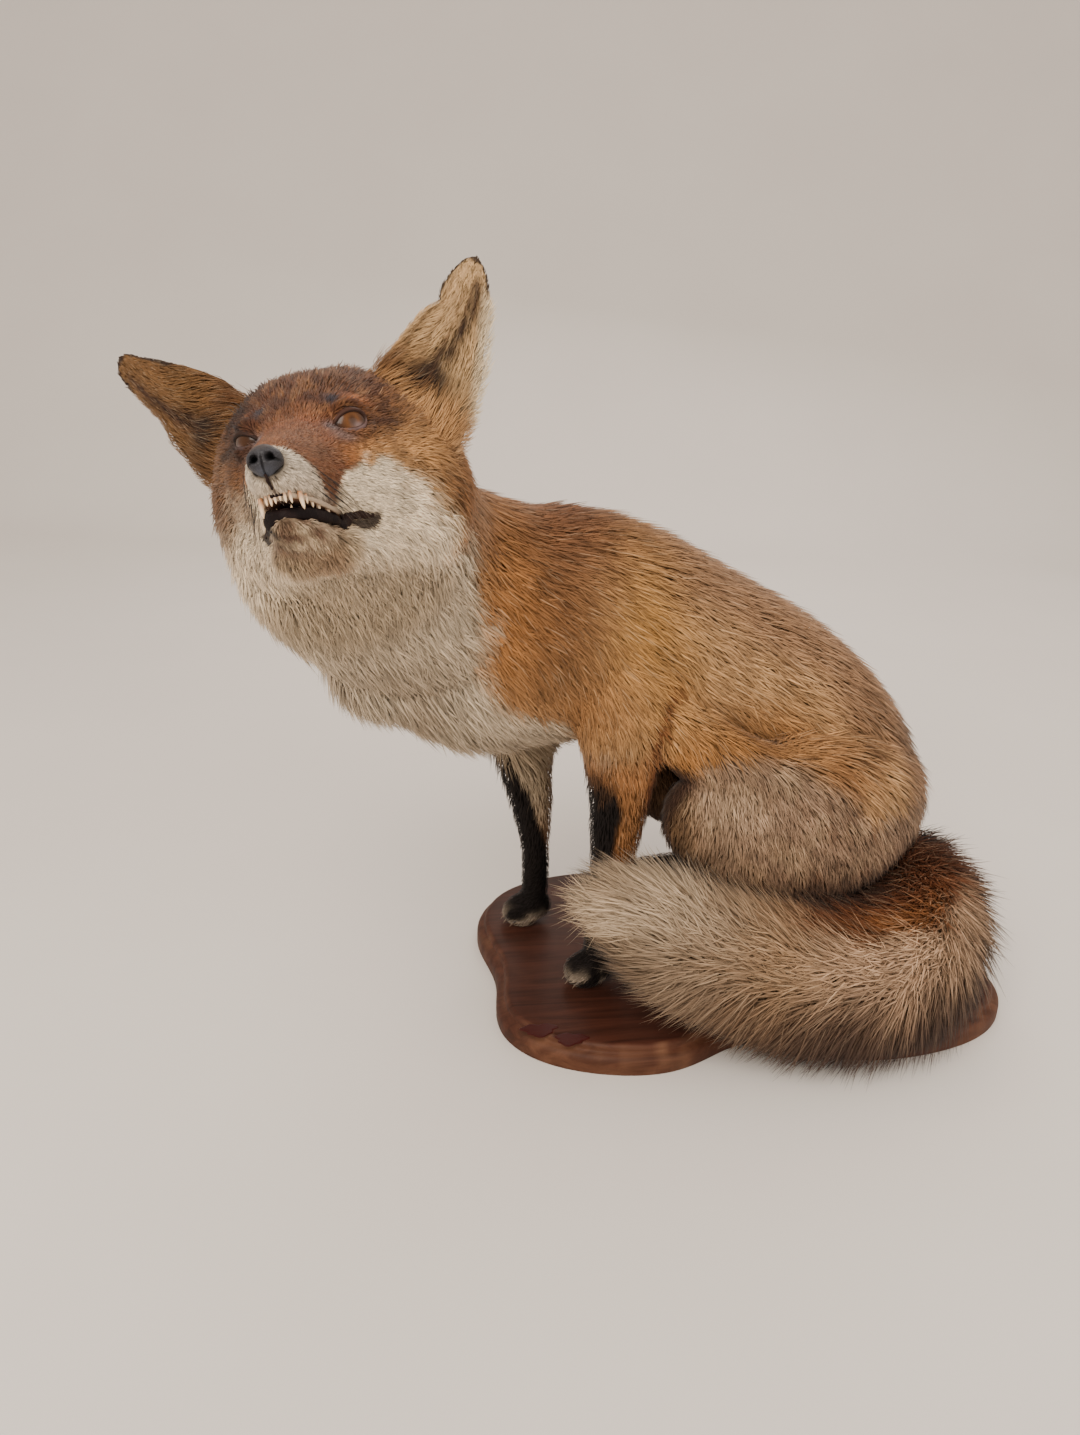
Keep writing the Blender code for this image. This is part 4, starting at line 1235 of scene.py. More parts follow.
HEAD_LIE = (
    (7.4, 0.7, -1.5, -1, 0, 0.1, 0.2, 14, 0.4, 300),
    (5, 0.8, -0.6, -1, 0, 0.15, 0.26, 14, 0.42, 280),
    (5.4, 1.6, -2.6, -1, 0.2, -0.1, 0.34, 16, 0.45, 260),
    (6.9, 1.2, -3.2, -0.8, 0.3, -0.5, 0.34, 18, 0.45, 260),
    (4.4, 1.7, -4, -0.8, 0.2, -0.55, 0.42, 18, 0.5, 240),
    (2.7, 0.8, 0.4, -1, 0.1, 0.5, 0.42, 16, 0.5, 230),
    (2.7, 1.8, -0.4, -0.95, 0.2, 0.3, 0.3, 14, 0.45, 250),
    (0.3, 2.8, 1.3, -0.85, 0.4, 0.3, 0.6, 22, 0.55, 200),
    (-1, 1, 2.7, -1, 0.05, 0.35, 1.1, 32, 0.75, 150),
    (-4, 2, 4, -1, 0.15, 0.05, 1.5, 34, 0.9, 110),
    (0.9, 0.8, 2, -1, 0.1, 0.5, 0.75, 26, 0.6, 190),
    (-8.5, 1.5, 3.8, -1, 0, -0.2, 1.7, 24, 1, 70),
    (1.4, 3, -1.8, -0.95, 0.5, -0.2, 0.5, 18, 0.55, 210),
    (-0.6, 4, -1, -0.9, 0.5, 0, 0.7, 20, 0.6, 170),
    (-0.5, 3.6, 0.4, -0.9, 0.45, 0.15, 0.6, 18, 0.55, 190),
    (0.3, 3.8, -3.2, -0.85, 0.45, -0.4, 0.85, 24, 0.65, 150),
    (-3, 5.8, -3, -0.8, 0.4, -0.45, 1.4, 28, 0.85, 100),
    (-6, 7, -3.6, -0.8, 0.15, -0.6, 2, 30, 1.1, 66),
    (-5.5, 6.3, -6.2, -0.65, 0.1, -0.8, 2.2, 32, 1.2, 60),
    (-3, 5.2, 0.8, -0.95, 0.3, 0.15, 1, 22, 0.7, 130),
    (-5, 5.2, 2.8, -0.7, 0.5, 0.5, 1.1, 24, 0.75, 110),
    (6.4, 0.5, -5.2, -0.7, 0, -0.8, 0.36, 16, 0.5, 230),
    (5.6, 0.7, -5.8, -0.8, 0, -0.7, 0.8, 28, 0.6, 190),
    (4.4, 1.2, -5.1, -0.8, 0.1, -0.7, 0.45, 18, 0.5, 220),
    (3.2, 1.8, -4.7, -1, 0.15, -0.2, 0.32, 12, 0.45, 240),
    (2.2, 2.3, -4.65, -1, 0.2, -0.1, 0.32, 12, 0.45, 240),
    (3, 1.2, -6.3, -0.9, 0, -0.5, 1.9, 38, 0.8, 120),
    (2.6, 2.2, -5.4, -0.9, 0.2, -0.6, 1.2, 30, 0.7, 140),
    (1.2, 2.9, -4.5, -1, 0.2, -0.1, 0.36, 12, 0.45, 240),
    (0.2, 3.3, -4.4, -1, 0.3, -0.1, 0.5, 14, 0.5, 220),
    (1.5, 2.6, -1, -0.9, 0.3, -0.1, 0.24, 12, 0.42, 240),
    (1.4, 2, 0.9, -0.9, 0.2, 0.4, 0.32, 14, 0.45, 230),
    (0, 2.6, -6.7, -0.85, 0.2, -0.6, 2.1, 38, 1, 90),
    (-4, 0, -7.5, -0.8, 0, -0.6, 2, 30, 1.2, 60),
    (-9, 3, -7.8, -0.7, 0, -0.7, 2.5, 30, 1.3, 50),
)


def both_sides(rows):
    """Rows with their mirror images across y, each with its mirrored way."""
    rows = np.array(rows, float)
    flipped = rows.copy()
    flipped[:, (1, 4)] *= -1
    return np.vstack((rows, flipped[rows[:, 1] != 0]))


def lie_table():
    """All rows in the model's frame: place, way, then the coat's measures."""
    tables = ((FOX, both_sides(BODY_LIE)), (FOX, np.array(NECK_LIE)), (HEAD, both_sides(HEAD_LIE)))
    return np.vstack([
        np.column_stack((out_of(place, rows[:, :3]), turn_out_of(place, rows[:, 3:6]), rows[:, 6:]))
        for place, rows in tables])


LIE = lie_table()
LIE_BLEND = 0.8 * CM


def lie_at(points):
    """Way of the hair, and its length, lift, width and number, blended from the nearest rows."""
    total = np.zeros((len(points), LIE.shape[1] - 3))
    weights = np.zeros(len(points))
    for row in LIE:
        away = points - row[:3]
        weight = 1 / (dot(away, away) + LIE_BLEND**2) ** 2
        total += weight[:, None] * row[3:]
        weights += weight
    total /= weights[:, None]
    return total[:, :3], *total[:, 3:].T


class Hide:
    """A skinned mesh as arrays: triangles, normals and its unwrap, to grow locks from."""

    def __init__(self, item):
        mesh = item.data
        mesh.calc_loop_triangles()
        self.corners = read(mesh.loop_triangles, "vertices", 3, np.int32)
        self.points = points_of(mesh)
        self.normals = normals_of(mesh)
        loops = read(mesh.loop_triangles, "loops", 3, np.int32)
        self.flat = read(mesh.uv_layers["OFBake"].uv, "vector", 2)[loops]
        a, b, c = (self.points[self.corners[:, k]] for k in range(3))
        self.areas = 0.5 * np.linalg.norm(np.cross(b - a, c - a), axis=1)
        self.middles = (a + b + c) / 3

    def roots(self, weights, count, random):
        """Roots spread evenly by weight: their places, normals and places on the unwrap."""
        reach = np.cumsum(weights)
        picks = (np.arange(count) + random.random(count)) / count * reach[-1]
        chosen = np.searchsorted(reach, picks).clip(0, len(weights) - 1)
        a, b = random.random(count), random.random(count)
        over = a + b > 1
        a, b = np.where(over, 1 - a, a), np.where(over, 1 - b, b)
        share = np.stack((1 - a - b, a, b), axis=1)[..., None]
        spots = (self.points[self.corners[chosen]] * share).sum(axis=1)
        normals = unit((self.normals[self.corners[chosen]] * share).sum(axis=1))
        return spots, normals, (self.flat[chosen] * share).sum(axis=1)


# A lock is a spindle: its root, three points round its shoulder, and its tip
LOCK_FACES = np.array(((0, 2, 1), (0, 3, 2), (0, 1, 3), (4, 1, 2), (4, 2, 3), (4, 3, 1)))
LOCK_PATCH = np.array(((0, -1), (-1, 0), (1, 0), (0, 0.15), (0, 1))) * 0.0015
SHOULDER = 0.4
ROOT_DEPTH = 0.0008
RIDGE = 0.4


class Locks:
    """Locks of hair collected for one mesh."""

    def __init__(self):
        self.parts = []

    def add(self, spots, normals, ways, lengths, lifts, widths, flat, tints, tip_tints, random,
            clump, pull, curl=0.6, stray=0.12, root_shade=0.5, patchy=0.28):
        """Each lock leaves the skin at its lift times 1 + curl, bends at its shoulder, and ends at
        its lift times 1 - curl; its tip is drawn toward the middle of its clump by the pull."""
        count = len(spots)
        ways = unit(ways - normals * dot(ways, normals)[:, None])
        side = np.cross(normals, ways)
        ways = unit(ways + side * (random.standard_normal(count) * stray)[:, None])
        side = np.cross(normals, ways)
        lifts = np.radians(lifts) * (1 + 0.25 * random.standard_normal(count)).clip(0.4, 1.8)
        first, second = lifts * (1 + curl), lifts * (1 - curl)
        lengths = lengths * (0.8 + 0.4 * random.random(count))
        rise = ways * np.cos(first)[:, None] + normals * np.sin(first)[:, None]
        fall = ways * np.cos(second)[:, None] + normals * np.sin(second)[:, None]
        shoulder = spots + rise * (lengths * SHOULDER)[:, None]
        tip = shoulder + fall * (lengths * (1 - SHOULDER))[:, None]
        middle, number = nearest_lock(spots, clump, 5)
        toward = middle - spots
        toward -= normals * dot(toward, normals)[:, None]
        swing = side * ((number - 0.5) * 0.5)[:, None] * lengths[:, None]
        tip = tip + toward * pull + swing * pull
        shoulder = shoulder + toward * (pull * 0.3)
        shade = 1 + patchy * (number - 0.5)
        ridge = unit(np.cross(tip - spots, side)) * -1
        ridge = ridge * np.sign(dot(ridge, normals))[:, None]
        half = side * (widths * 0.5)[:, None]
        crest = ridge * (widths * RIDGE)[:, None]
        root = spots - normals * ROOT_DEPTH
        points = np.stack((root, shoulder - half, shoulder + half, shoulder + crest, tip), axis=1)
        lean = side * 0.45
        soft = (normals, normals - lean, normals + lean, normals + ways * 0.1, normals + ways * 0.35)
        tints, tip_tints = tints * shade[:, None], tip_tints * shade[:, None]
        # the crest point a touch lighter: a faint painted highlight along each lock
        shades = np.stack((tints * root_shade, tints, tints, tints * 1.04, tip_tints), axis=1)
        patch = flat[:, None] + LOCK_PATCH
        self.parts.append((points, unit(np.stack(soft, axis=1)), shades, patch))

    def build(self, name, material):
        """One mesh of all the locks, each closed, shaded softly by the skin under it."""
        points, soft, shades, patch = (np.concatenate(some) for some in zip(*self.parts))
        count = len(points)
        faces = (np.arange(count)[:, None, None] * 5 + LOCK_FACES).reshape(-1, 3)
        mesh = bpy.data.meshes.new(name)
        mesh.vertices.add(count * 5)
        mesh.vertices.foreach_set("co", points.astype(np.float32).ravel())
        mesh.loops.add(len(faces) * 3)
        mesh.loops.foreach_set("vertex_index", faces.astype(np.int32).ravel())
        mesh.polygons.add(len(faces))
        mesh.polygons.foreach_set("loop_start", np.arange(len(faces), dtype=np.int32) * 3)
        mesh.update(calc_edges=True)
        mesh.shade_smooth()
        layer = mesh.uv_layers.new(name="OFBake")
        layer.uv.foreach_set("vector", patch.reshape(-1, 2)[faces.ravel()].astype(np.float32).ravel())
        mesh.normals_split_custom_set_from_vertices(soft.reshape(-1, 3).astype(np.float32))
        made = bpy.data.objects.new(name, mesh)
        bpy.context.scene.collection.objects.link(made)
        write_colour(made, shades.reshape(-1, 3))
        piece(made, material, "red_coat")


def mixed_tints(tints, random, dark, pale, banding=0.3):
    """Guard hairs among the coat: a share of locks dark tipped, a share pale, the rest varied."""
    count = len(tints)
    pick = random.random(count)
    vary = 1 + 0.13 * random.standard_normal(count)
    body = tints * vary.clip(0.6, 1.5)[:, None]
    tip = body * (1 + banding * (random.random(count) - 0.35))[:, None]
    dark_one = pick < dark
    pale_one = pick > 1 - pale
    body = np.where(dark_one[:, None], body * 0.75, body)
    tip = np.where(dark_one[:, None], tip * 0.5, tip)
    tip = np.where(pale_one[:, None], tip * 0.78 + colour(214, 190, 158) * 0.22, tip)
    body = np.where(pale_one[:, None], body * 0.92 + colour(210, 186, 154) * 0.08, body)
    return body, tip


# ---------------------------------------------------------------- ears

EARS = {
    "left": ((-5.6, 5.2, 2), (-7.7, 9.4, 8.9)),
    "right": ((-5.6, -5, 1.7), (-7.4, -10.65, 7.35)),
}
# How wide an ear is at each share of its length, toward the crown and toward its outer edge
EAR_EDGES = {
    "left": (
        (-0.14, 2.5, 3), (0.08, 2.4, 2.97), (0.28, 1.95, 2.7), (0.44, 1.6, 2.27), (0.53, 1.2, 2.05),
        (0.59, 0.8, 1.92), (0.72, 0.95, 1.6), (0.83, 0.85, 1.25), (0.90, 0.66, 0.95),
        (0.957, 0.42, 0.58), (0.99, 0.15, 0.18),
    ),
    "right": (
        (-0.14, 2, 2.8), (0.06, 2.15, 2.73), (0.22, 2.3, 2.3), (0.32, 2.15, 2.05), (0.41, 2, 1.6),
        (0.50, 1.8, 1.25), (0.69, 1.25, 1.05), (0.84, 0.75, 0.95), (0.95, 0.5, 0.68), (0.99, 0.18, 0.22),
    ),
}
EAR_LOW = -0.32
EAR_CUP = 1.9
EAR_WRAP = math.radians(75)
EAR_FACING = (0.94, 0.25, 0)
EAR_THICKNESS = 0.16
EAR_ROWS = 44
EAR_COLUMNS = 30


def ear_blade(side, rise, turn):
    """Points of an ear's middle surface. rise runs from root 0 to tip 1 and turn from -1 to 1
    across: half width times sin(angle) aside, and the cup times cos(angle) - 0.4 back."""
    sign = SIDES[side]
    root, tip = (np.array(point) for point in EARS[side])
    along = tip - root
    facing = np.array(EAR_FACING) * (1, sign, 1)
    across = unit(np.cross(along, facing))
    back = unit(np.cross(across, along))
    share = np.clip(1 - rise, 0, 1)
    shares, to_crown, to_edge = (np.array(column) for column in zip(*EAR_EDGES[side]))
    wrap = EAR_WRAP * (0.45 + 0.55 * share)
    angle = turn * wrap
    aside = np.sin(angle) / np.sin(wrap)
    outward = aside * sign
    half = np.interp(rise, shares, to_edge) * (1 + outward)
    half = (half + np.interp(rise, shares, to_crown) * (1 - outward)) / 2
    deep = EAR_CUP * share**0.8 * (np.cos(angle) - 0.4)
    crease = 0.10 * np.cos(turn * 9) * share * step(0.15, 0.4, rise)
    return (root + along * rise[..., None] + across * (half * aside)[..., None]
            + back * (deep + crease)[..., None])


def ear_surface(side, rise, turn, reach):
    """Points of an ear's middle surface, the ways up and across it, and the way out of its back."""
    here = ear_blade(side, rise, turn)
    up = ear_blade(side, rise + reach, turn) - ear_blade(side, rise - reach, turn)
    across = ear_blade(side, rise, turn + reach) - ear_blade(side, rise, turn - reach)
    normal = unit(np.cross(up, across))
    facing = np.array(EAR_FACING) * (1, SIDES[side], 1)
    return here, up, across, normal * (-1 if dot(normal, facing).mean() > 0 else 1)


def make_ear(side):
    """A thin cupped shell: its back, then its inside in reverse, as one ring at each rise."""
    rises = np.linspace(EAR_LOW, 0.985, EAR_ROWS)
    turns = np.linspace(-1, 1, EAR_COLUMNS)
    here, _, _, normal = ear_surface(side, *np.meshgrid(rises, turns, indexing="ij"), 0.004)
    thin = EAR_THICKNESS * (0.4 + 0.6 * np.cos(turns * 0.5 * math.pi) ** 0.5)[None, :, None] / 2
    rings = np.concatenate((here + normal * thin, (here - normal * thin)[:, ::-1]), axis=1)
    item = mesh_object("ear_skin_" + side, *closed(HEAD, rings))
    rise = np.repeat(rises, 2 * EAR_COLUMNS)
    turn = np.tile(np.concatenate((turns, turns[::-1])), EAR_ROWS)
    within = np.tile(np.repeat((False, True), EAR_COLUMNS), EAR_ROWS)
    tints = ear_colours(side, rise, turn, within, rise * 0)
    # the skin under the locks at half their tints: painted shade in the gaps between them
    write_colour(item, np.vstack((tints, tints[:1], tints[-1:])) * 0.5)
    return item


# Inside of each ear: its ground, its side toward the crown, its fringe and its root; the right ear's tints
# are all darker, painted shade on the far ear
EAR_TINTS = {
    "left": ((178, 144, 102), (150, 106, 62), (226, 206, 172), (166, 120, 76)),
    "right": ((102, 72, 42), (112, 76, 42), (112, 84, 56), (110, 76, 46)),
}


def ear_colours(side, rise, turn, inside, wobble):
    """Ears: black behind, golden within with a dark streak, pale at the outer edge, and a thin
    dark rim round the tip and down to the notch."""
    outer = turn * SIDES[side]
    ground, crownward, fringe, root = EAR_TINTS[side]
    combed = cloudy(np.column_stack((rise * 3, turn * 16, rise * 0)), 1, 43)
    paint = Paint(colour(*ground), len(rise))
    paint.lay(step(0.4, 0, rise) * step(0.2, -0.6, outer) * 0.6, *crownward)
    paint.lay(step(0.26, 0, rise) * step(-0.35, -0.8, outer) * 0.8, 86, 54, 33)
    streak = bell(outer + 0.08 - np.clip(0.95 * rise, 0, 0.55), 0.23)
    streak *= step(0.94, 0.75, rise) * step(-0.2, -0.02, rise)
    paint.lay(streak * held(0.92 + 0.3 * wobble + 0.4 * combed), 46, 31, 24)
    # painted shade where the ear canal opens at the root
    canal = bell(rise + 0.03, 0.13) * bell(outer + 0.05, 0.42)
    paint.lay(held(canal * 1.4) * 0.95, 32, 22, 18)
    paint.lay(held(combed * 1.4) * 0.55 * step(0.9, 0.7, rise), 84, 58, 38)
    edge = step(0.6, 0.84, outer) * step(0.88, 0.66, rise)
    paint.lay(edge * (0.9 - 0.6 * held(-combed * 1.4)), *fringe)
    reach = np.where(outer < 0, step(0.5, 0.58, rise), step(0.7, 0.8, rise))
    rim = np.maximum(step(0.74, 0.88, np.abs(turn)) * reach, step(0.93, 0.965, rise))
    paint.lay(rim * 0.95, 38, 26, 21)
    paint.lay(step(0, -0.12, rise) * (0.8 - 0.7 * canal), *root)
    behind = Paint(colour(38, 28, 24), len(rise))
    behind.lay(step(0.3, 0.05, rise) * 0.85, 150, 98, 58)
    paint.tint = np.where(inside[:, None], paint.tint, behind.tint)
    return paint.varied(1 + 0.12 * wobble)


# ---------------------------------------------------------------- eyes, lids, nose and mouth

IRIS_RADIUS = 0.74
# The right eye's pupil is drawn wide so the far eye reads dark: painted shade
PUPIL_WIDTH = {"left": 0.24, "right": 0.8}


def make_eye(side):
    """A glass ball with its iris measured out from the middle of its gaze."""
    middle, out, inner, up = eye_frame(side)
    points, faces = lidded(ball(radii=(EYE_RADIUS,) * 3, rings=60, points=72))
    placed = middle + points[:, :1] * out + points[:, 1:2] * inner + points[:, 2:] * up
    item = mesh_object("eyeball_" + side, out_of(HEAD, placed), faces)
    across, rise = points[:, 1] - 0.04, points[:, 2] + 0.02
    wide = PUPIL_WIDTH[side]
    front = points[:, 0] > 0
    write_value(item, "iris_out", np.where(front, np.hypot(across, rise) / IRIS_RADIUS, 9))
    write_value(item, "iris_around", np.arctan2(rise, across) / math.pi)
    write_value(item, "pupil_out", np.where(front, np.hypot(across / wide, rise / (wide + 0.1)), 9))
    # haze: where the painted pale reflection lies, low on the front of the eye
    write_value(item, "haze", front * bell(across + 0.26, 0.24) * bell(rise + 0.25, 0.14))
    return item


# An eyelid's profile: how far out of the opening, and its lift over the eye
LID_PROFILE = (
    (0.84, -0.06), (0.89, 0.01), (0.93, 0.045), (0.97, 0.065), (1.02, 0.075),
    (1.08, 0.08), (1.16, 0.075), (1.28, 0.05), (1.42, 0), (1.6, -0.25),
)
LID_POINTS = 96
LID_CORNER = 0.22
RIGHT_LID_SHADE = 0.45


def thickened(item, thickness, offset):
    thick = item.modifiers.new("thick", "SOLIDIFY")
    thick.thickness = thickness
    thick.offset = offset


def make_lids(side):
    """A band round the eye: from inside the opening, over a rounded margin, out under the face."""
    middle, out, inner, up = eye_frame(side)
    turn = round_turn(LID_POINTS)
    above = np.sin(turn)
    outs, lifts = np.array(LID_PROFILE).T[..., None]
    height = np.where(above > 0, LID_RISE[side], LID_DROP[side])
    socket = np.where(above > 0, SOCKET_RISE, SOCKET_DROP)
    height = height + (socket - height) * step(1.02, 1.5, outs)
    corner = step(0.75, 1, np.cos(turn))
    along = np.cos(turn) * LID_HALF_LENGTH * (1 + LID_CORNER * corner)
    rise = np.sign(above) * np.abs(above) ** 1.1 * height - 0.1 * corner
    radius = EYE_RADIUS + lifts * (0.8 + 0.8 * step(-0.2, 0.6, above))
    way = unit(out + (outs * along)[..., None] * inner + (outs * rise)[..., None] * up)
    points = (middle + way * radius[..., None]).reshape(-1, 3)
    faces = sheet_faces(len(outs), LID_POINTS).tolist()
    item = mesh_object("eyelids_" + side, out_of(HEAD, points), faces, outward=False)
    face = item.data.polygons[LID_POINTS * 4 + 2]
    if (face.center - Vector(out_of(HEAD, middle))).dot(face.normal) < 0:
        item.data.flip_normals()
    thickened(item, 0.0004, -1)
    share = np.broadcast_to(outs, height.shape).ravel()
    low = np.tile(step(0.35, -0.4, above), len(outs))
    paint = Paint(colour(44, 27, 21), len(points))
    paint.lay(step(0.9, 1, share) * low, 100, 80, 78)
    paint.lay(step(0.93, 1.05, share) * (1 - low), 58, 34, 24)
    paint.lay(held(cloudy(points, 0.25, 27)) * 0.6, 72, 46, 38)
    write_colour(item, paint.tint * (RIGHT_LID_SHADE if side == "right" else 1))
    return item


NOSE_MIDDLE = (7.95, 0, -2.62)
NOSE_SIZE = (0.64, 0.75, 0.69)


def nose_measure(spots):
    """How far out from the middle of the nose spots lie: 1 on its surface."""
    return np.linalg.norm((spots - np.array(NOSE_MIDDLE)) / np.array(NOSE_SIZE), axis=1)


def make_nose():
    """A rounded pad, its measures in shares of its own size: a squarish ball with comma nostrils
    sunk in, a furrow down its middle, and narrower below."""
    points, faces = lidded(ball(rings=110, points=150))
    squared = np.sign(points) * np.abs(points) ** 0.86
    size = np.linalg.norm(squared, axis=1)[:, None]
    x, y, z = (squared / size**0.5).T
    aside = np.abs(y)
    front = step(-0.1, 0.5, x)
    hole = bell(aside - 0.43, 0.19) * bell(z - 0.12, 0.2)
    slit = bell(z - 0.06 + 0.5 * (aside - 0.45), 0.09) * step(0.4, 0.55, aside) * step(1.05, 0.85, aside)
    furrow = bell(y, 0.06) * step(0.45, 0, z)
    wings = bell(aside - 0.7, 0.2) * bell(z - 0.3, 0.25)
    x = x - (0.75 * hole + 0.22 * slit + 0.16 * furrow - 0.09 * wings) * front
    y = y * (1 - 0.32 * step(-0.1, -0.95, z)) * (1 - 0.14 * step(0.3, 0.95, z))
    placed = np.column_stack((x, y, z)) * np.array(NOSE_SIZE) + np.array(NOSE_MIDDLE)
    item = mesh_object("nose_pad", out_of(HEAD, placed), faces)
    paint = Paint(colour(38, 37, 41), len(placed))
    paint.lay(step(-0.2, -0.8, z) * front * 0.6, 62, 66, 76)
    # nostrils and the middle furrow painted near black: painted shade in their hollows
    paint.lay(held(hole * 1.6 + slit * 0.8) * front, 10, 9, 10)
    paint.lay(furrow * front * 0.8, 22, 19, 21)
    paint.lay(step(0.45, 0.95, z) * 0.55, 74, 64, 60)
    paint.lay(step(0.1, -0.5, x) * 0.7, 58, 44, 38)
    write_colour(item, paint.tint)
    return item


# Columns of the head's tables
HALF_WIDTH, TOP, BOTTOM = 1, 2, 3
MOUTH_CORNER = (0.5, 2.75, -4.62)
LIP_POINTS = 110


def edge_at(rows, column, x):
    """One column of a head table at x."""
    rows = between(rows, 6)[::-1]
    return np.interp(x, rows[:, 0], rows[:, column])


def laid_on(path, points, normals, share):
    """A path drawn onto a surface by its share: each point goes to the mean of its six nearest."""
    laid = []
    for spot, pull in zip(path, share):
        away = dot(points - spot, points - spot)
        near = np.argpartition(away, 6)[:6]
        laid.append(spot + (points[near].mean(axis=0) + normals[near].mean(axis=0) * 0.1 - spot) * pull)
    return np.array(laid)


def lip_path(rows, column, inset, drop, front, face):
    """A lip's line from the left corner of the mouth round the front to the right corner."""
    turn = np.linspace(-0.5 * math.pi, 0.5 * math.pi, LIP_POINTS)
    back = MOUTH_CORNER[0]
    x = back + (front - back) * np.cos(turn) ** 0.55
    corner = 1 - step(back, back + 2.6, x)
    half = edge_at(rows, HALF_WIDTH, x) - inset
    y = -np.sign(np.sin(turn)) * half * np.abs(np.sin(turn)) ** (0.75 - 0.45 * step(6.8, 5.2, x))
    path = np.column_stack((x, y, edge_at(rows, column, x) + drop))
    ends = np.column_stack((x, np.sign(y) * MOUTH_CORNER[1], np.full(LIP_POINTS, MOUTH_CORNER[2])))
    path = path + (ends - path) * corner[:, None]
    along = np.append(0, np.linalg.norm(np.diff(path, axis=0), axis=1).cumsum())
    even = np.linspace(0, along[-1], LIP_POINTS)
    path = np.column_stack([np.interp(even, along, path[:, k]) for k in range(3)])
    path = laid_on(path, *face, step(3.6, 2.4, path[:, 0]))
    for _ in range(4):
        path[1:-1] = path[1:-1] * 0.5 + (path[:-2] + path[2:]) * 0.25
    return path


def make_lip(name, path, thick, high, lump_seed):
    """A rounded rim carried along a lip's line, a little uneven, drawn out thin at its corners."""
    x, y = path[:, 0], path[:, 1]
    size = (1 + 0.35 * cloudy(path, 0.45, lump_seed)) * (0.35 + 0.65 * step(0.4, 2.2, x))
    lump = bell(np.hypot(x - 6, y + 0.9), 0.45) * (name == "lower_lip")
    path = path - (0, 0, 0.1) * lump[:, None]
    widths, heights = thick * size * (1 + 0.8 * lump), high * size * (1 + 0.6 * lump)
    rings = carried(path, heights, widths, (0, 0, 1), 14)
    points, faces = lidded(rounded(rings, thick * 0.4, thick * 0.4))
    item = mesh_object(name, out_of(HEAD, points), faces)
    paint = Paint(colour(20, 14, 15), len(points))
    paint.lay(held(cloudy(points, 0.4, 9)) * 0.5, 44, 31, 30)
    if name == "upper_lip":
        pale = step(3, 4.4, points[:, 0]) * step(0.3, 0.55, np.abs(points[:, 1]))
        paint.lay(pale * 0.9, 176, 156, 134)
    paint.lay(step(3.4, 1.6, points[:, 0]) * 0.7, 40, 25, 21)
    write_colour(item, paint.tint)
    return item


def make_philtrum(face):
    """The groove from nose to lip: a dark thread laid on the muzzle."""
    share = np.linspace(0, 1, 14)[:, None]
    path = np.array((8.3, 0, -3.2)) * (1 - share) + np.array((7.95, 0, -4.1)) * share
    path = laid_on(path, *face, np.ones(len(path)))
    size = np.full(len(path), 0.06)
    thread = rounded(carried(path, size, size, (0, 1, 0), 10), 0.03, 0.03)
    item = mesh_object("philtrum", *closed(HEAD, thread))
    write_colour(item, np.tile(colour(38, 27, 25), (len(item.data.vertices), 1)))
    return item


def make_mouth(upper, lower):
    """The mouth's lining: from the upper lip in over the gums, back and out to the lower lip."""
    share = np.linspace(0, 1, 9)[:, None, None]
    path = upper[None] * (1 - share) + lower[None] * share
    middle = path * (0, 0, 1) + (2.2, 0, 0)
    path = path + (middle - path) * (0.22 * np.sin(share * math.pi) + 0.06)
    rows, columns = path.shape[:2]
    faces = sheet_faces(rows, columns, closed=False).tolist()
    item = mesh_object("mouth_lining", out_of(HEAD, path.reshape(-1, 3)), faces, outward=False)
    thickened(item, 0.0006, 0)
    shares = np.repeat(share.ravel(), columns)
    paint = Paint(colour(34, 27, 34), len(shares))
    paint.lay(step(0.34, 0.1, shares) * 0.85, 128, 92, 72)
    # a bluish band deep in the lining, nearer the lower lip: painted sheen
    paint.lay(bell(shares - 0.6, 0.16) * 0.5, 40, 44, 66)
    write_colour(item, paint.tint)
    return item


# Teeth of one side: x, y, half width, length, lean outward; upper row, then lower row
UPPER_TEETH = (
    (7.2, 0.11, 0.085, 0.2, 0),
    (7.17, 0.3, 0.09, 0.24, 0.05),
    (7.06, 0.5, 0.09, 0.2, 0.1),
    (6.7, 0.84, 0.13, 0.55, 0.1),
    (6.2, 0.95, 0.08, 0.16, 0.08),
    (5.6, 1.02, 0.1, 0.2, 0.08),
    (4.9, 1.1, 0.13, 0.22, 0.08),
    (4.1, 1.28, 0.15, 0.24, 0.08),
)
LOWER_TEETH = (
    (6.58, 0.12, 0.08, 0.2, 0),
    (6.5, 0.31, 0.08, 0.22, 0.05),
    (6.2, 0.58, 0.11, 0.34, 0.12),
    (5.2, 0.9, 0.1, 0.16, 0.05),
    (4.4, 1.04, 0.11, 0.18, 0.05),
)


def rooted(name, place, rings_of_each):
    """Tapered rings as one mesh, each with its share from tip 0 to root 1."""
    roots = []
    for rings in rings_of_each:
        rows, columns = rings.shape[:2]
        roots.append(np.append(np.repeat(1 - np.linspace(0, 1, rows), columns), (1, 0)))
    item = mesh_object(name, *joined([closed(place, rings) for rings in rings_of_each]))
    write_value(item, "root", np.concatenate(roots))
    return item


TOOTH_RINGS = 7
TOOTH_SIDES = 12
GUM_DEPTH = 0.25


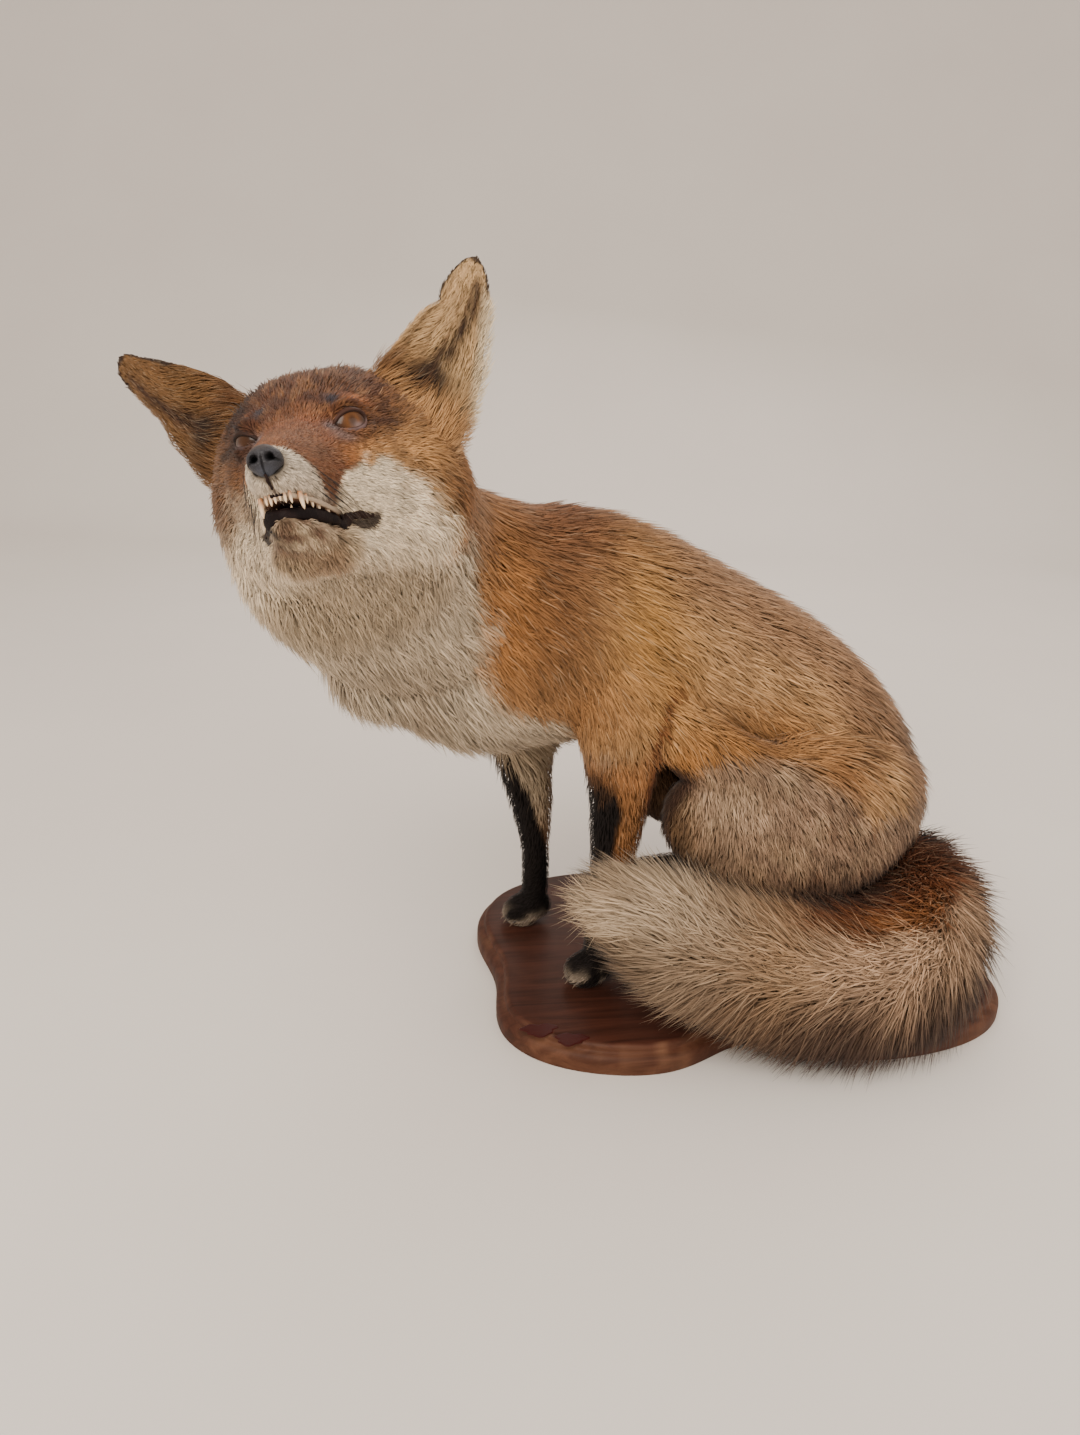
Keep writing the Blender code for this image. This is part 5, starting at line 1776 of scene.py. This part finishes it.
def make_teeth(name, rows, edge, way):
    """Blunt cones set in the gum along a head table's edge, each curved back toward its tip."""
    cones = []
    share = np.linspace(0, 1, TOOTH_RINGS)
    turn = round_turn(TOOTH_SIDES)
    for number, (x, y, half, length, lean) in enumerate(rows):
        for sign in (-1, 1):
            chance = hashed(np.array(((number, sign, len(rows)),)), 7)[0]
            length = length * (0.65 + 0.7 * chance)
            size = half * np.sqrt(np.clip(1 - share**2.6, 0.02, 1))[:, None]
            height = edge_at(*edge, x) + way * (length + GUM_DEPTH) * share - way * GUM_DEPTH
            back = -0.22 * length * share**2
            aside = sign * (y + lean * length * share)
            cones.append(np.stack((
                x + back[:, None] + size * 1.1 * np.cos(turn),
                aside[:, None] + size * 0.85 * np.sin(turn),
                np.broadcast_to(height[:, None], (TOOTH_RINGS, TOOTH_SIDES))), axis=-1))
    return rooted(name, HEAD, cones)


def spikes(name, place, hairs, width, sides, rows, taper=1):
    """Round spikes: from its start each runs along its way, falls with the square of its share of
    the length, and thins with that share raised to the taper."""
    share = np.linspace(0, 1, rows)
    made = []
    for start, way, fall, length in hairs:
        path = unit(np.array(way)) * share[:, None] + np.array(fall) * share[:, None] ** 2
        size = width * 0.5 * (1 - share**taper * 0.94)
        made.append(carried(start + path * length, size, size, (0.3, 0.2, 0.93), sides))
    return rooted(name, place, made)


WHISKER_WIDTH = 0.034
CLAW_LENGTH = 0.85
CLAW_WIDTH = 0.26


def make_whiskers(random):
    """Whiskers in rows on the muzzle pads, and a few on brow and cheek, swept back."""
    hairs = []
    for sign in (1, -1):
        for row in range(4):
            for place in range(5):
                x, z = 6.3 - 0.62 * place + 0.1 * row, -2.75 - 0.33 * row - 0.12 * place
                back, out, down, grown = random.random(4)
                way = (-0.95 - 0.1 * back, sign * (0.5 + 0.15 * out), -0.4 - 0.2 * down)
                length = 1.6 + 0.55 * place * (0.6 + 0.6 * grown)
                hairs.append(((x, sign * (1.45 + 0.07 * place), z), way, (-0.1, -0.12 * sign, -0.18), length))
        for place in range(3):
            start = (1.2 - 0.4 * place, sign * (2.3 + 0.3 * place), 1.3)
            hairs.append((start, (-0.5, sign * 0.5, 0.8), (-0.4, 0.1 * sign, -0.3), 1.6))
    return spikes("whiskers", HEAD, hairs, WHISKER_WIDTH, 5, 8)


def make_claws():
    """Dark claws that curve down from the toes of all four feet."""
    hairs = []
    for x, y, z, reach in TOES:
        for share in TOE_ROOTS:
            lead = reach - 0.35 * abs(share)
            start = (x - lead - 0.7, y + share * TOE_SPREAD * 0.8, z + 0.05)
            hairs.append((start, (-1, 0.05 * share, 0), (0.12, 0, -0.55), CLAW_LENGTH))
    return spikes("claws", FOX, hairs, CLAW_WIDTH, 10, 9, 1.6)


# ---------------------------------------------------------------- the wooden base

BASE_LENGTH = 41.6
BASE_WIDTH = 28
BASE_CORNER_POWER = 3.4
FRONT_SCALLOP = (-1.5, 5, 3.2)
END_SCALLOP = (-1.5, 4.6, 1.2)
BASE_POINTS = 420
# The moulded edge from the floor up: inset and height of each turn of its curve
BASE_EDGE = (
    (0.10, 0.00), (0.02, 0.04), (0, 0.12), (0, 0.86), (0.03, 1.02), (0.12, 1.2), (0.24, 1.34),
    (0.40, 1.44), (0.56, 1.52), (0.60, 1.58), (0.61, 1.72), (0.64, 1.86), (0.74, 2),
    (0.88, 2.08), (1.02, 2.1),
)
# Dents of the edge: x, y, size; and drops of varnish: x, y, half length, half width
KNOCKS = (
    (-17.9, -11, 1.2), (-8.2, -13.6, 1.6), (14.5, -11.9, 2),
    (-20.6, 3, 1), (-12.4, -14, 1.2), (19.6, -6, 1.4),
)
SPILLS = ((-17.4, -10.2, 1.25, 0.75), (-15.3, -11.5, 1.15, 0.7))
TOP_SHARES = (0.97, 0.9, 0.8, 0.66, 0.5, 0.34, 0.18, 0.06)
BOTTOM_SHARES = (0.3, 0.75, 0.97)
EDGE_WEAR = 0.00108
# A drop's profile: how far out, and its rise over the board
DROP_PROFILE = (
    (1, -0.01), (0.985, 0.008), (0.95, 0.016), (0.86, 0.022), (0.7, 0.024), (0.4, 0.024), (0.1, 0.024),
)


def scalloped(along, scallop):
    """How far a side dips inward at places along it."""
    middle, width, depth = scallop
    return depth * bell(along - middle, width)


def base_outline(inset):
    """A superellipse whose four sides dip inward by a bell in the middle, drawn in by an inset."""
    wide, deep = squarish(round_turn(BASE_POINTS), BASE_CORNER_POWER)
    x, y = wide * BASE_LENGTH / 2, deep * BASE_WIDTH / 2
    dip_x, dip_y = scalloped(y, END_SCALLOP), scalloped(x, FRONT_SCALLOP)
    shaped = np.column_stack((x - np.sign(x) * dip_x, y - np.sign(y) * dip_y))
    run = np.linalg.norm(np.diff(shaped, axis=0, append=shaped[:1]), axis=1)
    reach = np.concatenate(((0,), np.cumsum(run)))
    evenly = np.linspace(0, reach[-1], BASE_POINTS, endpoint=False)
    looped = np.vstack((shaped, shaped[:1]))
    shaped = np.column_stack([np.interp(evenly, reach, looped[:, k]) for k in range(2)])
    along = np.roll(shaped, -3, axis=0) - np.roll(shaped, 3, axis=0)
    return shaped + unit(np.column_stack((-along[:, 1], along[:, 0]))) * inset


def make_base():
    """The board: its moulded edge as rings of the outline, then its top drawn to the middle."""
    flat = np.ones(BASE_POINTS)
    edges = [np.column_stack((base_outline(inset), flat * height)) for inset, height in BASE_EDGE]
    bottom = [edges[0] * (share, share, 1) for share in BOTTOM_SHARES]
    top = [edges[-1] * (share, share, 1) for share in TOP_SHARES]
    rings = np.array(bottom + edges + top)
    body = (rings[..., 2] > 0.3) & (rings[..., 2] < 2.05)
    wear = cloudy(rings.reshape(-1, 3), 3.1, 71).reshape(body.shape)
    rings[..., :2] *= 1 - (EDGE_WEAR * wear * body)[..., None]
    points, faces = lidded(rings)
    item = mesh_object("base", points * CM, faces)
    x, y, z = points.T
    ring = np.arange(len(points)) // BASE_POINTS - len(bottom)
    edge = (ring >= 0) & (ring < len(edges) - 1)
    edge = edge * step(2.1, 1.9, z) * np.clip(0.7 + 0.35 * cloudy(points, 4, 75), 0.2, 1)
    edge *= 1 - 0.8 * step(-15, -20, x) * step(-12.5, -8, y)
    rough = cloudy(points, 0.9, 73)
    rim = bell(z - 1.54, 0.14) + bell(z - 2.02, 0.1) + 0.5 * bell(z - 0.03, 0.1)
    knock = sum(bell(np.hypot(x - knock_x, y - knock_y), size) for knock_x, knock_y, size in KNOCKS)
    write_value(item, "edge", edge)
    knock = knock * (0.4 + rough) + rim * held(0.2 + rough * 0.8) * 0.45
    write_value(item, "knock", held(knock) * (edge > 0))
    return item


def make_spills():
    """Two old drops of varnish: thin domes with an uneven outline on the board."""
    turn = round_turn(72)
    outs, rises = np.array(DROP_PROFILE).T[..., None]
    shapes = []
    for number, (x, y, long_way, short_way) in enumerate(SPILLS):
        ragged = 1 + 0.16 * np.sin(3 * turn + number) + 0.08 * np.sin(7 * turn + 2 * number)
        shapes.append(lidded(np.stack((
            x + outs * ragged * np.cos(turn) * long_way,
            y + outs * ragged * np.sin(turn) * short_way,
            BASE_THICKNESS + rises + turn * 0), axis=-1)))
    points, faces = joined(shapes)
    item = mesh_object("varnish_drops", points * CM, faces)
    write_value(item, "spill", np.ones(len(points)))
    return item


# ---------------------------------------------------------------- growing the coat

def unwrap(item):
    """Lays a skin's own faces out flat as the map the coat's locks take their places on."""
    item.data.uv_layers.new(name="OFBake")
    bpy.ops.object.select_all(action="DESELECT")
    bpy.context.view_layer.objects.active = item
    item.select_set(True)
    bpy.ops.object.mode_set(mode="EDIT")
    bpy.ops.mesh.select_all(action="SELECT")
    bpy.ops.uv.smart_project(angle_limit=math.radians(80), island_margin=0.004)
    bpy.ops.object.mode_set(mode="OBJECT")
    item.select_set(False)


FACE, CROWN, NECK_AND_CHEST, CHEST, SHOULDER_COAT, BACK, RUMP, LEGS, BRUSH = range(9)
# Each part of the coat: its piece, its locks, the size of a clump, and how its shade varies
COATS = {
    FACE: ("coat_face", 26000, 0.0022, 0.5),
    CROWN: ("coat_head", 27000, 0.0045, 0.6),
    NECK_AND_CHEST: ("coat_neck", 22000, 0.0075, 0.4),
    CHEST: ("coat_chest", 16000, 0.0075, 0.4),
    SHOULDER_COAT: ("coat_shoulders", 22000, 0.0075, 0.4),
    BACK: ("coat_back", 30000, 0.0075, 0.4),
    RUMP: ("coat_rump", 27000, 0.0075, 0.5),
    LEGS: ("coat_legs", 15000, 0.003, 0.4),
}
# Share of dark tipped and of pale locks, pull toward the clump, and stray
SHORT_COAT = (0.12, 0.08, 0.3, 0.1)
LONG_COAT = (0.15, 0.09, 0.42, 0.16)
BRUSH_HALVES = (("coat_tail_root", -0.1, 0.5), ("coat_tail_end", 0.5, 1.1))
TAIL_LOCKS = 23500
TAIL_LOCKS_PER_CM2 = 95
TAIL_LOCK_WIDTH = 0.0014
BOARD_TOP = BASE_THICKNESS * CM
# Heights over the board where hair begins to grow and is full, and where long hair rests
BARE_HEIGHT, FULL_HEIGHT = 0.0028, 0.0042
REST_HEIGHT, REST_SPREAD = 0.0012, 0.002


def coat_part(points):
    """Which piece of coat grows at points of the skin."""
    spots, face = into(FOX, points), into(HEAD, points)
    x, y, z = spots.T
    part = np.full(len(points), BACK)
    part[x > 14.5] = RUMP
    part[x < 2.5] = SHOULDER_COAT
    part[(x < -5.5) & (z < 33)] = CHEST
    neck = (x < -6) & (z > 31)
    part[neck] = NECK_AND_CHEST
    head = (face[:, 0] > -9.5) & (np.hypot(face[:, 1], face[:, 2]) < 9.5) & (z > 30)
    part[head] = CROWN
    part[head & (face[:, 0] > -0.6)] = FACE
    part[(z < 17.5) & (x < 5.5)] = LEGS
    part[(z < 5.2) & (np.abs(y) > 5.4) & (x < 24.5)] = LEGS
    away = np.full(len(points), np.inf)
    for *middle, wide, _ in between(TAIL, 6):
        core = max(wide - TAIL_DEPTH, 0.8)
        away = np.minimum(away, np.linalg.norm(spots - middle, axis=1) - core)
    part[(away < 1.1) & (x > -2) & (y < 3) & ((x > 25.5) | (y < -8.5))] = BRUSH
    return part


def open_places(points):
    """1 where hair may grow: not on the eyes, lids, nose, nostrils, gums or inside the mouth."""
    inside = into(HEAD, points)
    clear = step(0.98, 1.06, nose_measure(inside))
    for side in SIDES:
        clear *= step(1.04, 1.2, lid_measure(inside, side))
    x, _, z = inside.T
    upper = np.interp(x, *np.array(HEAD_ROWS)[::-1, (0, BOTTOM)].T)
    mouth = step(-0.05, -0.2, z - upper) * step(0.25, 0.1, -4.78 - z) * step(0.2, 1.2, x) * step(9, 8, x)
    return clear * (1 - mouth)


def grow_body(hide, random, coat):
    """The coat of body, legs and head, each part a mesh of its own."""
    *_, number = lie_at(hide.middles)
    weights = hide.areas / CM**2 * number * open_places(hide.middles)
    weights *= step(BARE_HEIGHT, FULL_HEIGHT, hide.middles[:, 2] - BOARD_TOP)
    parts = coat_part(hide.middles)
    for part, (name, count, clump, patchy) in COATS.items():
        spots, normals, flat = hide.roots(np.where(parts == part, weights, 0), count, random)
        ways, length, lift, width, _ = lie_at(spots)
        tints = coat_colours(spots)
        grey = tints.mean(axis=1)
        dark, pale, pull, stray = SHORT_COAT if part in (FACE, LEGS) else LONG_COAT
        banding = 0.6 if part == RUMP else 0.3
        dark, pale = dark * step(0.02, 0.1, grey), pale * step(0.03, 0.12, grey)
        body, tip = mixed_tints(tints, random, dark, pale, banding)
        locks = Locks()
        locks.add(spots, normals, ways, length * CM, lift, width * MM, flat, body, tip, random,
                  clump=clump, pull=pull, stray=stray, patchy=patchy)
        locks.build(name, coat)


def over_board(points):
    """1 where points are over the board's top, 0 beyond its edge."""
    x, y = points[..., 0] / CM, points[..., 1] / CM
    inside = held(1 - np.abs(2 * x / BASE_LENGTH) ** BASE_CORNER_POWER)
    half = BASE_WIDTH / 2 * inside ** (1 / BASE_CORNER_POWER) - scalloped(x, FRONT_SCALLOP)
    return (np.abs(y) < half).astype(float)


def tail_fringe(share, under):
    """1 on the low outer side of the brush, where its hair hangs longest."""
    return step(-0.35, 0.2, under) * step(0.28, 0.4, share) * step(0.7, 0.52, share)


def grow_tail(hide, random, coat):
    """The brush: long hair that stands out of the tail's core and sweeps toward its tip."""
    parts = coat_part(hide.middles)
    share_of_each, under_of_each, _ = tail_share(into(FOX, hide.middles))
    density = hide.areas / CM**2 * TAIL_LOCKS_PER_CM2 * (
        1 + 2 * step(0.9, 1, share_of_each) + 0.8 * tail_fringe(share_of_each, under_of_each))
    aheads = unit(np.gradient(between(TAIL, 8)[:, :3], axis=0))
    for name, low, high in BRUSH_HALVES:
        here = (parts == BRUSH) & (share_of_each >= low) & (share_of_each < high)
        spots, normals, flat = hide.roots(np.where(here, density, 0), TAIL_LOCKS, random)
        share, under, _ = tail_share(into(FOX, spots))
        place = np.clip(share * (len(aheads) - 1), 0, len(aheads) - 1)
        ways = np.stack([np.interp(place, np.arange(len(aheads)), aheads[:, k]) for k in range(3)], axis=1)
        ways[:, 2] -= 0.12 + 0.9 * step(-0.35, 0.25, under) * step(0.9, 0.7, share)
        body, tip = mixed_tints(tail_colours(spots), random, 0.16, 0.14)
        dark_tips = step(-0.42, 0.1, under) * (0.25 + 0.6 * step(0.7, 0.5, share)) * step(0.97, 0.8, share)
        tip += (colour(50, 36, 33) - tip) * dark_tips[:, None]
        rest = step(0, 0.5, under)
        lift = 42 - 14 * rest + 6 * random.standard_normal(TAIL_LOCKS)
        length = 4.6 - 0.4 * rest + 1.3 * tail_fringe(share, under)
        length *= 0.55 + 0.45 * random.random(TAIL_LOCKS) ** 0.6
        widths = np.full(TAIL_LOCKS, TAIL_LOCK_WIDTH)
        locks = Locks()
        locks.add(spots, normals, turn_out_of(FOX, ways), length * CM, lift, widths, flat, body, tip,
                  random, clump=0.015, pull=0.5, curl=0.4, stray=0.2, root_shade=0.45)
        hair = locks.parts[0][0]
        resting = REST_HEIGHT + BOARD_TOP * over_board(hair)
        resting += REST_SPREAD * random.random(TAIL_LOCKS)[:, None]
        hair[..., 2] = np.maximum(hair[..., 2], resting)
        locks.build(name, coat)


# Coat behind and inside an ear: whether inside, its locks, their length and width
EAR_COATS = ((False, 3400, 0.4, 0.055), (True, 4800, 0.55, 0.045))


def grow_ear(side, random, coat):
    """Short velvet behind; within, hair that sweeps across from the crown's side and up, with a
    long fringe on the outer edge and longer fur round the root."""
    locks = Locks()
    sign = SIDES[side]
    for inside, count, length, width in EAR_COATS:
        rise = random.random(count) ** 0.9 * 1.29 - 0.305
        turn = random.random(count) * 2 - 1
        here, up, across, normal = ear_surface(side, rise, turn, 0.01)
        if inside:
            normal = -normal
        outer = turn * sign
        root = step(0.2, -0.08, rise)
        fringe = step(0.45, 0.95, outer) * step(0.88, 0.6, rise) * inside * (0.8 if side == "left" else 0.25)
        sweep = step(0.3, -0.7, outer) * step(0.75, 0.3, rise) * inside
        way = unit(up) * (0.5 + 0.5 * step(0, 0.5, rise))[:, None]
        way += unit(across) * (sign * (0.9 * sweep + 0.35 * fringe))[:, None]
        grow = length * (1 + 1.2 * fringe + 1.6 * root + 0.5 * sweep) * (1 - 0.6 * step(0.45, 1, rise))
        grow = grow * (1 - 0.55 * step(0.45, 0.9, outer) * step(0.35, 0.05, rise))
        tints = ear_colours(side, rise, turn, np.full(count, inside), cloudy(here, 0.8, 41))
        body, tip = mixed_tints(tints, random, 0.06, 0.1 if inside else 0.02)
        base = here + normal * (EAR_THICKNESS * 0.4)
        flat = np.column_stack((rise * 0.35 + 0.12 + 0.5 * inside, turn * 0.4 + 0.5))
        lift = 14 + 20 * fringe + 12 * root
        locks.add(out_of(HEAD, base), turn_out_of(HEAD, normal), turn_out_of(HEAD, way), grow * CM, lift,
                  np.full(count, width * CM), flat, body, tip, random, clump=0.0035, pull=0.3, root_shade=0.7)
    locks.build("coat_ear_" + side, coat)


# ---------------------------------------------------------------- the scene

def area_lamp(name, place, aim, size, power, tint):
    lamp = bpy.data.lights.new(name, "AREA")
    lamp.energy = power
    lamp.size = size
    lamp.color = tint
    made = bpy.data.objects.new(name, lamp)
    made.location = place
    made.rotation_euler = (Vector(aim) - Vector(place)).to_track_quat("-Z", "Y").to_euler()
    bpy.context.scene.collection.objects.link(made)


CAMERA_PITCH = math.radians(20.2)
CAMERA_ROLL = math.radians(1.7)
CAMERA_HEADING = math.radians(9)
CAMERA_PLACE = (-0.282, -0.744, 0.500)
CAMERA_LENS = 27.04
SENSOR_WIDTH = 36


def set_camera():
    """A level camera turned by its heading, then tipped down by its pitch and rolled."""
    ahead = Vector((math.sin(CAMERA_HEADING) * math.cos(CAMERA_PITCH),
                    math.cos(CAMERA_HEADING) * math.cos(CAMERA_PITCH), -math.sin(CAMERA_PITCH)))
    level = Vector((math.cos(CAMERA_HEADING), -math.sin(CAMERA_HEADING), 0))
    rise = level.cross(ahead)
    right = level * math.cos(CAMERA_ROLL) + rise * math.sin(CAMERA_ROLL)
    up = rise * math.cos(CAMERA_ROLL) - level * math.sin(CAMERA_ROLL)
    lens = bpy.data.cameras.new("camera")
    lens.sensor_width = SENSOR_WIDTH
    lens.lens = CAMERA_LENS
    made = bpy.data.objects.new("camera", lens)
    whole = Matrix((right, up, -ahead)).transposed().to_4x4()
    whole.translation = Vector(CAMERA_PLACE)
    made.matrix_world = whole
    bpy.context.scene.collection.objects.link(made)
    bpy.context.scene.camera = made


STAGE_HALF = 3.4
STAGE_POINTS = 81
STAGE_BEND = 1.7
STAGE_RISE = 3.2


# Lamps: name, place, aim, size, power, colour
LAMPS = (
    ("key", (-1, -1.5, 1.7), (-0.1, 0, 0.25), 1.3, 54, (1, 0.93, 0.84)),
    ("fill", (1.3, -1.3, 1.1), (0, 0, 0.25), 1.6, 15, (1, 0.95, 0.9)),
    ("back", (0.5, 1.6, 1.5), (0, 0, 0.3), 1.4, 16, (1, 0.95, 0.9)),
)
ROOM_COLOUR = (1, 0.9, 0.8, 1)
ROOM_LIGHT = 0.92


def set_stage():
    """A pale floor that sweeps up behind, soft lamps and pale light all round."""
    line = np.linspace(-STAGE_HALF, STAGE_HALF, STAGE_POINTS)
    x, y = np.meshgrid(line, line, indexing="ij")
    back = x * math.sin(CAMERA_HEADING) + y * math.cos(CAMERA_HEADING)
    rise = STAGE_RISE * held((back - STAGE_BEND) / STAGE_BEND) ** 2
    points = np.stack((x, y, rise), axis=-1).reshape(-1, 3)
    floor = mesh_object("floor", points, sheet_faces(STAGE_POINTS, STAGE_POINTS, closed=False).tolist())
    if floor.data.polygons[0].normal.z < 0:
        floor.data.flip_normals()
    floor.data.materials.append(floor_finish())
    world = bpy.data.worlds.new("studio")
    world.use_nodes = True
    light = world.node_tree.nodes["Background"]
    light.inputs["Color"].default_value = ROOM_COLOUR
    light.inputs["Strength"].default_value = ROOM_LIGHT
    bpy.context.scene.world = world
    for lamp in LAMPS:
        area_lamp(*lamp)


FLESH_NODES = (
    "trunk", "neck", "head", "lower_jaw", "foreleg_left", "foreleg_right", "forepaw_left",
    "forepaw_right", "hind_leg_left", "hind_leg_right", "hind_foot_left", "hind_foot_right",
    "tail_base", "tail_middle", "tail_tip",
)
SKIN_SHADE = 0.6
RANDOM_SEED = 20


def build_mouth(hide):
    """Lips, philtrum, lining and teeth, fitted to the muzzle's own skin."""
    lips, tooth = bare_finish("lips", 0.42, 0.07), tooth_finish()
    inside = into(HEAD, hide.points)
    near = (inside[:, 0] > -1.5) & (np.abs(inside[:, 1]) < 4.5) & (inside[:, 2] < -2)
    face = inside[near], unit(hide.normals[near] @ HEAD[:3, :3])
    upper = lip_path(HEAD_ROWS, BOTTOM, 0.22, 0.1, 7.3, face)
    lower = lip_path(JAW_ROWS, TOP, 0.14, -0.1, 6.7, face)
    piece(make_lip("upper_lip", upper, 0.09, 0.11, 3), lips, "black_coat")
    piece(make_lip("lower_lip", lower, 0.2, 0.3, 4), lips, "black_coat")
    piece(make_philtrum(face), lips, "black_coat")
    piece(make_mouth(upper, lower), lips, "black_coat")
    piece(make_teeth("upper_teeth", UPPER_TEETH, (HEAD_ROWS, BOTTOM), -1), tooth, "pale_coat")
    piece(make_teeth("lower_teeth", LOWER_TEETH, (JAW_ROWS, TOP), 1), tooth, "pale_coat")


def build():
    """The whole model: camera, stage, skin with its coat, then the bare pieces and the board."""
    random = np.random.default_rng(RANDOM_SEED)
    set_camera()
    set_stage()
    coat, hide_look, wood = coat_finish(), skin_finish(), wood_finish()
    bare, glass = bare_finish("bare_skin", 0.5, 0.18), eye_finish()
    skin = make_skin()
    unwrap(skin)
    hide = Hide(skin)
    tail_here = coat_part(hide.points) == BRUSH
    tint = coat_colours(hide.points)
    tint[tail_here] = tail_colours(hide.points[tail_here])
    write_colour(skin, tint * SKIN_SHADE)
    piece(skin, hide_look, "red_coat", *FLESH_NODES)
    grow_body(hide, random, coat)
    grow_tail(hide, random, coat)
    for side in SIDES:
        ear = make_ear(side)
        unwrap(ear)
        piece(ear, hide_look, "red_coat", "ear_" + side)
        grow_ear(side, random, coat)
        piece(make_eye(side), glass, "eye", "eye_" + side)
        piece(make_lids(side), bare, "black_coat")
    piece(make_nose(), nose_finish(), "nose_leather", "nose")
    build_mouth(hide)
    piece(make_whiskers(random), whisker_finish(), "black_coat")
    piece(make_claws(), horn_finish(), "black_coat")
    piece(make_base(), wood, "varnished_wood", "base_board")
    piece(make_spills(), wood, "varnished_wood")


build()
